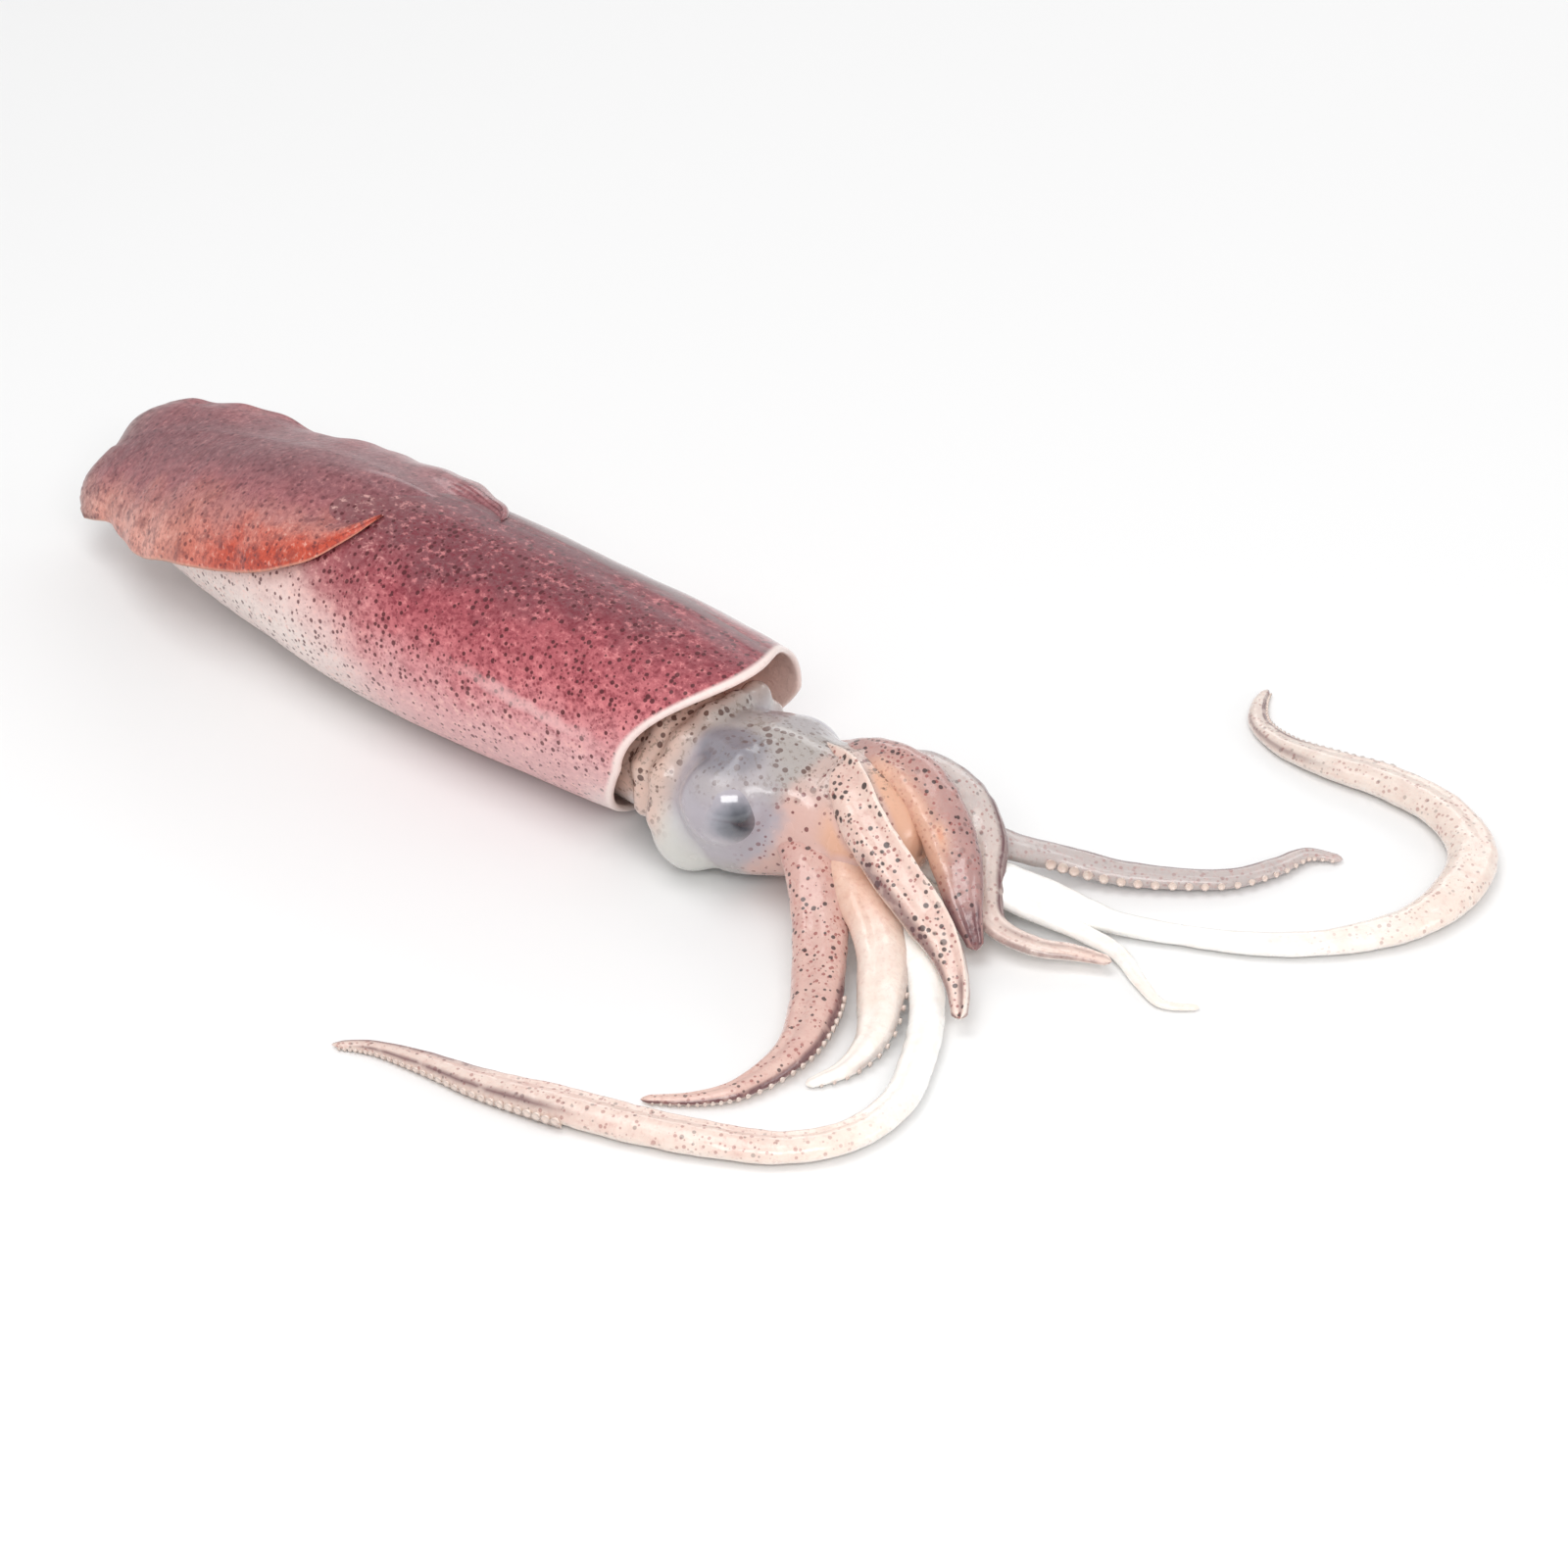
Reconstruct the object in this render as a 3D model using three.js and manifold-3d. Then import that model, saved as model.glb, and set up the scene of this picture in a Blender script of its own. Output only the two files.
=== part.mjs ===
// A whole raw squid lying belly down: +X runs from the tail to the head, +Z is up, millimetres.
// The origin is on the flat spot of the belly, at the level of the surface that the animal lies on.
import * as THREE from "three";
import { mergeVertices } from "three/addons/utils/BufferGeometryUtils.js";
import Module from "manifold-3d";

// Mantle, the tapered body tube.
const TAIL_X = -106;
const RIM_X = 71.5; // the rim at the sides
const DORSAL_LOBE = 16.5; // how far the rim's point on the back reaches past its sides
const BELLY_CUTBACK = 9; // how far the rim sits back under the belly
const LEFT_FLAP = 8; // how far the rim's slack left side reaches forward and out
const MANTLE_RADIUS = 24.7;
const TAIL_TAPER_LENGTH = 112;
const RIM_NARROWING = 0.1; // share of the radius lost from the widest place to the rim
const MANTLE_WIDTH = 1.03; // side to side, times the radius
const MANTLE_HEIGHT = 0.96; // belly to back, times the radius
const TAIL_AXIS_Y = 5; // the soft tail lies a little to the left
const TAIL_AXIS_Z = 15;
const BODY_AXIS_Z = 23;
const TAIL_ROUNDNESS = [1.8, 0.66]; // powers of the tail's taper, along and across
const TAIL_SETTLE_LENGTHS = { z: 80, y: 95 }; // where the tail's axis joins the body's
const FLAP_ANGLE = 0.48 * Math.PI; // the middle of the slack flap, from the back towards +Y
const FLAP_SPREAD = 4;
const FLAP_FLARE = { share: 0.35, behindRim: 30, pastRim: 6 };
const MANTLE_SIDES = 32;
const MANTLE_STEPS = 16;
const TAIL_STEP_POWER = 1.35; // closer steps near the tail
const WALL = 2.6;
const RECESS_DEPTH = 14; // how far the mantle stands open round the neck
const RECESS_STEPS = 4;
const CUT_MARGIN = 10; // how far a cutting shape runs past what it cuts

// Fins, two thin lobes on the rear half of the back.
const FIN_REAR_X = -104;
const FIN_WIDTH = 26;
const FIN_ROOT_THICKNESS = 3.6;
const FIN_EDGE_THICKNESS = 1.4;
const FIN_STEPS = 15;
const FIN_BANDS = 5;
const FIN_WIDEST = 0.4; // share of the root, from the rear, where a fin is widest
const FIN_ROUNDNESS = 2.2;
const FIN_END_WIDTH = 0.06; // share of the width kept at the front end
const FIN_ROOT_ANGLE = 12;
const FIN_CURVE_FROM = 25; // the fin's curve follows the body no nearer to the tail than this
const TAIL_RAISE_TO = 0.42; // share of the root over which the upward turn fades
// droop is the share of the body's own curve that a fin follows, raise its upward turn at the tail.
const NEAR_FIN = { side: -1, frontX: -8, droop: 1.05, rearReach: 0.6, raise: 0 };
const FAR_FIN = { side: 1, frontX: 6, droop: 0.42, rearReach: 0.52, raise: 56 };

// Head, neck and eyes.
const NECK = { from: 52, to: 82, radius: 14.5, y: -2, z: 18.5, sides: 24 };
const HEAD = { x: 89.5, y: -4.5, z: 16.2, length: 21.5, width: 18.2, height: 16.2 };
const HEAD_GRID = [22, 14];
const CROWN = { x: 110, y: 1.5, z: 16.5, length: 20, width: 14.5, height: 13.8 };
const CROWN_GRID = [18, 12];
const EYE_RADIUS = 9.5;
const EYE_GRID = [14, 10];
const EYES = [
  { x: 94, y: -14.5, z: 22 },
  { x: 94, y: 5.5, z: 22 },
];

// Limbs: each control point is x, y, z and the width there. Thickness is a share of the width.
const LIMB_SIDES = 8;
const ARMS = [
  {
    name: "right_ventral",
    thickness: 0.62,
    steps: 15,
    route: [
      [104, -6, 17, 11],
      [114, -13, 14.5, 11.4],
      [122, -20, 9.5, 11],
      [129, -28.5, 5.5, 10.6],
      [135.5, -38, 3.8, 10],
      [140, -49.5, 2.8, 7.6],
      [139, -64, 2, 5],
      [134, -71, 1.4, 3.4],
      [126, -77, 0.8, 2],
    ],
  },
  {
    name: "right_lateral",
    thickness: 0.85,
    steps: 14,
    route: [
      [102, 2, 24, 9.4],
      [113, -1.5, 26.5, 9.6],
      [124, -7.5, 23, 9.6],
      [133, -10.5, 18.5, 9.4],
      [142, -12.5, 14, 8.8],
      [149, -14.5, 10.5, 6.8],
      [155, -18.5, 7.5, 4.8],
      [159.5, -23.5, 5, 3],
    ],
  },
  {
    name: "right_dorsal",
    thickness: 0.6,
    steps: 12,
    route: [
      [101, 8, 23, 10],
      [112, 9.5, 27, 11.4],
      [122, 9, 27, 12.4],
      [130, 7, 22.5, 12],
      [137, 3.5, 16.5, 10.6],
      [142, 0, 10.5, 7.6],
      [147.5, -3, 4, 3],
    ],
  },
  {
    name: "left_dorsal",
    thickness: 0.55,
    steps: 15,
    route: [
      [103, 12, 18, 10],
      [117, 16.5, 23, 11.4],
      [127, 18, 20, 11.6],
      [133.5, 16, 14, 10.6],
      [139, 10, 8.5, 8],
      [145.5, 4.6, 5.5, 5.6],
      [155, 5, 4.2, 5.4],
      [162, 9, 3.6, 4.6],
      [169, 12, 3, 2.6],
    ],
  },
  {
    name: "left_lateral",
    thickness: 0.7,
    steps: 17,
    route: [
      [108, 12, 18, 10],
      [124, 17, 14, 9],
      [134, 24, 8.5, 7.4],
      [142, 32, 4.5, 6.8],
      [152, 37, 3, 6.4],
      [162, 43.5, 2.5, 5.4],
      [170, 51, 2.2, 5],
      [174, 60, 2, 4.6],
      [176, 68, 1.6, 3.4],
      [182, 72, 0.9, 2],
    ],
  },
  {
    name: "left_ventral",
    thickness: 0.7,
    steps: 13,
    route: [
      [114, 6, 13, 9],
      [130, 10, 9, 7.4],
      [147, 13, 5.5, 5.6],
      [158, 16, 3, 4.4],
      [167, 16.5, 1.8, 3.8],
      [176, 12, 1.3, 3],
      [183, 9.5, 1, 2.2],
      [189, 13.5, 0.7, 1.6],
    ],
  },
  {
    name: "inner_right",
    thickness: 0.66,
    steps: 13,
    route: [
      [112, -6, 15, 11],
      [126, -12, 12, 11],
      [136, -18, 8, 10.6],
      [143, -27, 4.5, 9.4],
      [149, -37, 2.8, 6.6],
      [150, -46, 1.8, 4.4],
      [147, -54, 1, 2.2],
    ],
  },
  {
    name: "inner_left",
    thickness: 0.7,
    steps: 9,
    route: [
      [112, 4, 11, 10],
      [124, 5, 7, 8],
      [132, 10, 3.6, 6.4],
      [137, 18, 2.4, 4.8],
      [139, 26, 1.4, 2.4],
    ],
  },
];
const TENTACLES = [
  {
    name: "right_tentacle",
    thickness: 0.66,
    steps: 32,
    route: [
      [114, -4, 12, 8],
      [130, -9, 9.5, 7.6],
      [144, -16, 6.5, 7.2],
      [152, -24, 3.8, 7],
      [160, -37, 3, 7],
      [165, -50, 2.8, 7.2],
      [164, -63, 2.8, 7.4],
      [157, -73, 2.8, 7.6],
      [145, -80, 3, 8.4],
      [130, -86, 3, 9],
      [116, -90, 2.8, 8.8],
      [102, -93.5, 2.2, 7],
      [88, -95.5, 1.7, 5],
      [77, -98, 1.2, 3.2],
      [70, -102, 0.7, 1.8],
    ],
  },
  {
    name: "left_tentacle",
    thickness: 0.66,
    steps: 36,
    route: [
      [114, 8, 12, 9],
      [132, 12, 8, 12],
      [147, 18, 5, 10.4],
      [161, 23, 2.8, 6],
      [174, 29, 2.2, 5.2],
      [187, 36, 2.4, 6],
      [198, 46, 2.6, 6.6],
      [206, 60, 3, 8.4],
      [207, 75, 3.3, 10],
      [202, 88, 3.4, 10.2],
      [190, 96, 3.4, 9.8],
      [176, 98, 3.2, 9.4],
      [162, 96.5, 2.8, 8],
      [150, 97, 2, 6],
      [141, 101, 1.4, 4.4],
      [136, 108, 1, 3.2],
      [134, 114, 0.7, 1.8],
    ],
  },
];
const SUNK_TIP = 0.25; // share of the last width kept at a limb's rounded end

const MERGE_DISTANCE = 1e-4;
const SURFACE_BLOCK = { side: 700, depth: 60 };

const wasm = await Module();
wasm.setup();

// A closed three.js geometry as a manifold solid.
function solidOf(geometry) {
  const bare = geometry.clone();
  bare.deleteAttribute("normal");
  bare.deleteAttribute("uv");
  const merged = mergeVertices(bare, MERGE_DISTANCE);
  const vertProperties = merged.attributes.position.array;
  const triVerts = new Uint32Array(merged.index.array);
  const solid = new wasm.Manifold(new wasm.Mesh({ numProp: 3, vertProperties, triVerts }));
  if (solid.volume() > 0) return solid;
  triVerts.reverse(); // a mirrored shape is turned to face out
  return new wasm.Manifold(new wasm.Mesh({ numProp: 3, vertProperties, triVerts }));
}

// Moves every vertex of a geometry to place(x, y, z).
function reshape(geometry, place) {
  const position = geometry.attributes.position;
  for (let i = 0; i < position.count; i += 1) {
    const moved = place(position.getX(i), position.getY(i), position.getZ(i));
    position.setXYZ(i, moved.x, moved.y, moved.z);
  }
  return geometry;
}

const smooth = (low, high, value) => THREE.MathUtils.smoothstep(value, low, high);

function mantleRadius(x) {
  const fromTail = Math.max(x - TAIL_X, 0);
  const along = Math.min(fromTail / TAIL_TAPER_LENGTH, 1);
  const [lengthwise, crosswise] = TAIL_ROUNDNESS;
  const nose = Math.pow(1 - Math.pow(1 - along, lengthwise), crosswise);
  const past = Math.max(fromTail - TAIL_TAPER_LENGTH, 0) / (RIM_X - TAIL_X - TAIL_TAPER_LENGTH);
  return MANTLE_RADIUS * nose * (1 - RIM_NARROWING * past * past);
}

function mantleAxisZ(x) {
  return THREE.MathUtils.lerp(TAIL_AXIS_Z, BODY_AXIS_Z, smooth(0, TAIL_SETTLE_LENGTHS.z, x - TAIL_X));
}

function mantleAxisY(x) {
  return TAIL_AXIS_Y * (1 - smooth(0, TAIL_SETTLE_LENGTHS.y, x - TAIL_X));
}

// A point on the mantle: angle 0 is the back, positive towards +Y.
function onMantle(x, angle, inset = 0) {
  const { share, behindRim, pastRim } = FLAP_FLARE;
  const flare = share * LEFT_FLAP * leftFlap(angle) * smooth(RIM_X - behindRim, RIM_X + pastRim, x);
  const radius = Math.max(mantleRadius(x) + flare - inset, 0);
  return new THREE.Vector3(
    x,
    mantleAxisY(x) + Math.sin(angle) * radius * MANTLE_WIDTH,
    mantleAxisZ(x) + Math.cos(angle) * radius * MANTLE_HEIGHT,
  );
}

// How much of the slack flap a place on the rim takes part in: most at the left side.
function leftFlap(angle) {
  return Math.pow(Math.max(Math.cos(angle - FLAP_ANGLE), 0), FLAP_SPREAD);
}

// The rim runs out to a point on the back and sits back under the belly.
function rimX(angle) {
  const back = Math.pow(Math.max(Math.cos(angle), 0), 2);
  const belly = Math.max(-Math.cos(angle), 0);
  return RIM_X + DORSAL_LOBE * back - BELLY_CUTBACK * belly + LEFT_FLAP * leftFlap(angle);
}

function mantle() {
  const tube = new THREE.CylinderGeometry(1, 1, 1, MANTLE_SIDES, MANTLE_STEPS);
  reshape(tube, (across, height, up) => {
    const along = Math.pow(height + 0.5, TAIL_STEP_POWER);
    const angle = Math.atan2(across, up);
    const radial = Math.hypot(across, up);
    const x = THREE.MathUtils.lerp(TAIL_X, rimX(angle), along);
    if (radial < 0.5) return onMantle(height < 0 ? TAIL_X : RIM_X, 0, MANTLE_RADIUS * 2);
    return onMantle(x, angle);
  });
  return solidOf(tube);
}

// What is cut from the mantle's mouth, so that its wall stands round the neck.
function recess() {
  const plug = new THREE.CylinderGeometry(1, 1, 1, MANTLE_SIDES, RECESS_STEPS);
  const reach = RECESS_DEPTH + DORSAL_LOBE + CUT_MARGIN;
  reshape(plug, (across, height, up) => {
    const x = RIM_X - RECESS_DEPTH + (height + 0.5) * reach;
    const angle = Math.atan2(across, up);
    const inset = Math.hypot(across, up) < 0.5 ? MANTLE_RADIUS * 2 : WALL;
    return onMantle(x, angle, inset);
  });
  return solidOf(plug);
}

// The width of a fin at a share of its root, from its rear end to its front end.
function finWidth(along, rearReach) {
  const rear = THREE.MathUtils.lerp(rearReach, 1, smooth(0, FIN_WIDEST, along));
  const past = Math.max(along - FIN_WIDEST, 0) / (1 - FIN_WIDEST);
  const front = Math.sqrt(Math.max(1 - Math.pow(past, FIN_ROUNDNESS), 0));
  return FIN_WIDTH * rear * Math.max(front, FIN_END_WIDTH);
}

function fin({ side, frontX, droop, rearReach, raise }) {
  const slab = new THREE.BoxGeometry(1, 1, 1, FIN_STEPS, FIN_BANDS, 1);
  reshape(slab, (lengthwise, crosswise, through) => {
    const along = lengthwise + 0.5;
    const out = crosswise + 0.5;
    const x = THREE.MathUtils.lerp(FIN_REAR_X, frontX, along);
    const reach = out * finWidth(along, rearReach);
    const rootTurn = THREE.MathUtils.degToRad(FIN_ROOT_ANGLE);
    const root = onMantle(x, side * rootTurn, FIN_ROOT_THICKNESS / 2);
    const raised = THREE.MathUtils.degToRad(raise) * (1 - smooth(0, TAIL_RAISE_TO, along));
    const start = rootTurn - raised;
    const girth = mantleRadius(Math.max(x, TAIL_X + FIN_CURVE_FROM)) + FIN_ROOT_THICKNESS;
    const bend = droop / girth;
    const turn = reach * bend;
    const outward = (Math.sin(start + turn) - Math.sin(start)) / bend;
    const down = (Math.cos(start) - Math.cos(start + turn)) / bend;
    const thickness = THREE.MathUtils.lerp(FIN_ROOT_THICKNESS, FIN_EDGE_THICKNESS, out);
    const lift = through * thickness;
    return new THREE.Vector3(
      x,
      root.y + side * (outward + Math.sin(start + turn) * lift),
      root.z - down + Math.cos(start + turn) * lift,
    );
  });
  return solidOf(slab);
}

function ball({ x, y, z, length, width, height }, [segments, rings]) {
  const geometry = new THREE.SphereGeometry(1, segments, rings);
  geometry.scale(length, width, height);
  geometry.translate(x, y, z);
  return solidOf(geometry);
}

function eye(place) {
  const size = { length: EYE_RADIUS, width: EYE_RADIUS, height: EYE_RADIUS };
  return ball({ ...place, ...size }, EYE_GRID);
}

function neck() {
  const length = NECK.to - NECK.from;
  const geometry = new THREE.CylinderGeometry(NECK.radius, NECK.radius, length, NECK.sides, 1);
  geometry.rotateZ(Math.PI / 2);
  geometry.translate(NECK.from + length / 2, NECK.y, NECK.z);
  return solidOf(geometry);
}

// A tapered limb with an oval section along a smooth route.
function limb({ route, thickness, steps }) {
  const curve = new THREE.CatmullRomCurve3(route.map(([x, y, z]) => new THREE.Vector3(x, y, z)));
  const spans = route.length - 1;
  const widthAt = (t) => {
    const at = Math.min(Math.floor(t * spans), spans - 1);
    return THREE.MathUtils.lerp(route[at][3], route[at + 1][3], t * spans - at);
  };
  const tube = new THREE.CylinderGeometry(1, 1, 1, LIMB_SIDES, steps);
  reshape(tube, (across, height, up) => {
    const t = height + 0.5;
    const tangent = curve.getTangent(t);
    const sideways = new THREE.Vector3(0, 0, 1).cross(tangent).normalize();
    const upward = tangent.clone().cross(sideways);
    const half = (widthAt(t) / 2) * (t === 1 ? SUNK_TIP : 1);
    return curve
      .getPoint(t)
      .addScaledVector(sideways, across * half)
      .addScaledVector(upward, up * half * thickness);
  });
  return solidOf(tube);
}

// What lies below the surface is cut away, which leaves flat places to lie on.
function surface() {
  const { side, depth } = SURFACE_BLOCK;
  const block = new THREE.BoxGeometry(side, side, depth);
  block.translate(0, 0, -depth / 2);
  return solidOf(block);
}

function squid() {
  const body = mantle().subtract(recess());
  const pieces = [
    fin(NEAR_FIN),
    fin(FAR_FIN),
    neck(),
    ball(HEAD, HEAD_GRID),
    ball(CROWN, CROWN_GRID),
    ...EYES.map(eye),
    ...ARMS.map(limb),
    ...TENTACLES.map(limb),
  ];
  return pieces.reduce((whole, piece) => whole.add(piece), body).subtract(surface());
}

function geometryOf(solid) {
  const { vertProperties, triVerts } = solid.getMesh();
  const geometry = new THREE.BufferGeometry();
  geometry.setAttribute("position", new THREE.BufferAttribute(new Float32Array(vertProperties), 3));
  geometry.setIndex(new THREE.BufferAttribute(new Uint32Array(triVerts), 1));
  geometry.computeVertexNormals();
  return geometry;
}

const flesh = new THREE.MeshStandardMaterial({ color: 0xc98d8d, roughness: 0.28, metalness: 0 });
const whole = new THREE.Mesh(geometryOf(squid()), flesh);
whole.name = "squid";

const part = new THREE.Group();
part.add(whole);
export default part;
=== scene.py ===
"""A whole raw squid that lies belly down, its arms and tentacles spread in front of it."""

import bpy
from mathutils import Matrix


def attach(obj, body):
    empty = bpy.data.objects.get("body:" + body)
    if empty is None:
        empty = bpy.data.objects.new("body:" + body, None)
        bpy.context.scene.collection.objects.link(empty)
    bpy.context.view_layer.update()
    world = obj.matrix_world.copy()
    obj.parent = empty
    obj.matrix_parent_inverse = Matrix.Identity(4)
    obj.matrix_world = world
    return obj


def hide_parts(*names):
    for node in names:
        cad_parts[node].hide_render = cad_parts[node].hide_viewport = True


bl_info = {
    "name": "Whole raw squid",
    "version": (1, 0, 0),
    "blender": (4, 5, 0),
    "location": "View3D > Sidebar > Squid",
    "description": "Builds a whole raw squid: mantle, fins, head, eyes, arms and tentacles",
    "category": "Object",
}

import math

import bmesh
import bpy
import numpy as np
from mathutils import Matrix, Vector, noise

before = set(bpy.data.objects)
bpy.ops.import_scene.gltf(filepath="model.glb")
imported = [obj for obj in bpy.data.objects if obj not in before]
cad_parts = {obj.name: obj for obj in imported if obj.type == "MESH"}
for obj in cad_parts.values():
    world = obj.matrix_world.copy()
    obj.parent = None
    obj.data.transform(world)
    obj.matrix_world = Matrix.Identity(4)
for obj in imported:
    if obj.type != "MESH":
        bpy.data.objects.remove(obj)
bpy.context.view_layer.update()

NODE = "squid"
BODY = "root"
MM = 0.001

# The mantle, in millimetres. Its radius and the wall at its rim are settings.
TAIL_X = -106.0
RIM_X = 71.5
DORSAL_LOBE = 16.5
BELLY_CUTBACK = 9.0
LEFT_FLAP = 8.0
FLAP_ANGLE = 0.48 * math.pi
FLAP_NARROWNESS = 4
FLAP_FLARE = 0.35
TAIL_TAPER = 112.0
TAIL_FULLNESS = 1.8
TAIL_ROUNDNESS = 0.66
RIM_NARROWING = 0.1
MANTLE_WIDTH = 1.03
MANTLE_HEIGHT = 0.96
TAIL_AXIS_Y = 5.0
TAIL_AXIS_Z = 15.0
BODY_AXIS_Z = 23.0
TAIL_SWING_LENGTH = 95.0
TAIL_DROP_LENGTH = 80.0
OUTER_SHARE = 0.8
LIP_SHARE = 0.045
RING_CROWDING = 1.25
INNER_DEPTH = 30.0
INNER_THINNING = 0.9
SWELLS = ((0.45, 26.0, 3.0), (0.16, 7.0, 9.0))
SWELL_INSET = 0.25
SUNK_UNDER_FINS = 0.9

# The fins, in millimetres and radians. Along a fin, 0 is its rear end and 1 its front end.
# For each: the x of its front end, its width beside the setting, how fast it turns down at
# its rear and at its front, its share of the width at the rear end and where that is full,
# how much it is raised at the rear and how far forward that fades, how blunt its front is,
# and the least share of its width there.
FIN_REAR_X = -104.0
FIN_ROOT_THICKNESS = 3.6
FIN_EDGE_THICKNESS = 1.3
FIN_ROOT_ANGLE = 0.21
FIN_MIDDLE = 0.16
FIN_WIDEST = 0.4
FIN_TILT = 0.46
FIN_TILT_END = 0.5
FIN_LIFT = 2.2
FIN_CORNER = 5.0
FIN_SCALLOPS = ((0.4, 19.0, 1.0), (0.3, 41.0, 0.0))
TAIL_TIP_LENGTH = 25.0
SHEET_STEPS = 30
RIGHT_FIN = dict(
    side=-1, front=-6.0, wide=1.0, droop=(0.68, 1.05), rear=0.62, full=0.4, rise=-0.25, fade=0.5,
    blunt=2.8, lobe=0.1,
)
LEFT_FIN = dict(
    side=1, front=15.0, wide=0.92, droop=(0.44, 0.6), rear=0.58, full=0.72, rise=0.6, fade=0.44,
    blunt=1.5, lobe=0.04,
)

# The head, in millimetres. Folds are chains of (x, y, z, radius).
HEAD_FROM = 46.0
HEAD_TO = 130.5
NECK = ((40, -2, 18.5), (80, -3, 18), 14.2)
SKULL = (((90, -4.5, 16.4), (19.5, 16.2, 15.6), 5.0), ((110, 1.5, 16.5), (20, 14.3, 13.6), 6.0))
CROWN = ((96, -3.5, 24.0), (15.0, 12.0, 8.2), 4.0)
CHEEKS = ((84.5, -12.0, 12.4), (84.5, 4.0, 12.4))
CHEEK_SIZE = (9.0, 11.0, 11.2)
CHEEK_MELT = 1.4
COLLAR = (
    (83, 1, 32.5, 2.0), (82.5, -6, 32, 2.6), (81, -12, 28.5, 2.9), (80, -17, 22.5, 3.0),
    (81, -19.5, 15, 3.2),
)
COLLAR_LEFT = ((83, 1, 32.5, 2.0), (82, 8, 30, 2.6), (81, 12.5, 23, 2.9), (82, 13, 15, 3.0))
NECK_FOLD = ((76, -3, 32.4, 2.2), (75, -11, 29, 2.4), (74, -16.5, 22, 2.4), (75, -17.5, 14, 2.4))
BROW = ((87, -11, 30.4, 2.0), (96, -12.5, 30.8, 2.2), (103, -13, 26.5, 2.0))
FOLDS = ((COLLAR, 1.6), (COLLAR_LEFT, 1.6), (NECK_FOLD, 1.8), (BROW, 4.0))
FOLD_MELT = 2.0
UPPER_LID = (93.0, -12.5, 31.5)
HEAD_UNEVEN = ((0.16, 5.0, 5.0),)
RAY_STEPS = 60

# The eyes: where each sits and which way it looks; then the radius of each socket and how
# softly it melts into the head.
EYES = {
    "eye_right": ((94.0, -14.5, 22.0), (0.72, -0.69, 0.08)),
    "eye_left": ((94.0, 6.0, 20.5), (0.62, 0.78, 0.08)),
}
SOCKETS = {"eye_right": (9.6, 2.2), "eye_left": (9.2, 3.5)}
CORE_SHIFT = (0.14, 0.08, -0.02)
EYE_FORWARD = 0.5
CORNEA_BULGE = 0.03

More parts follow.
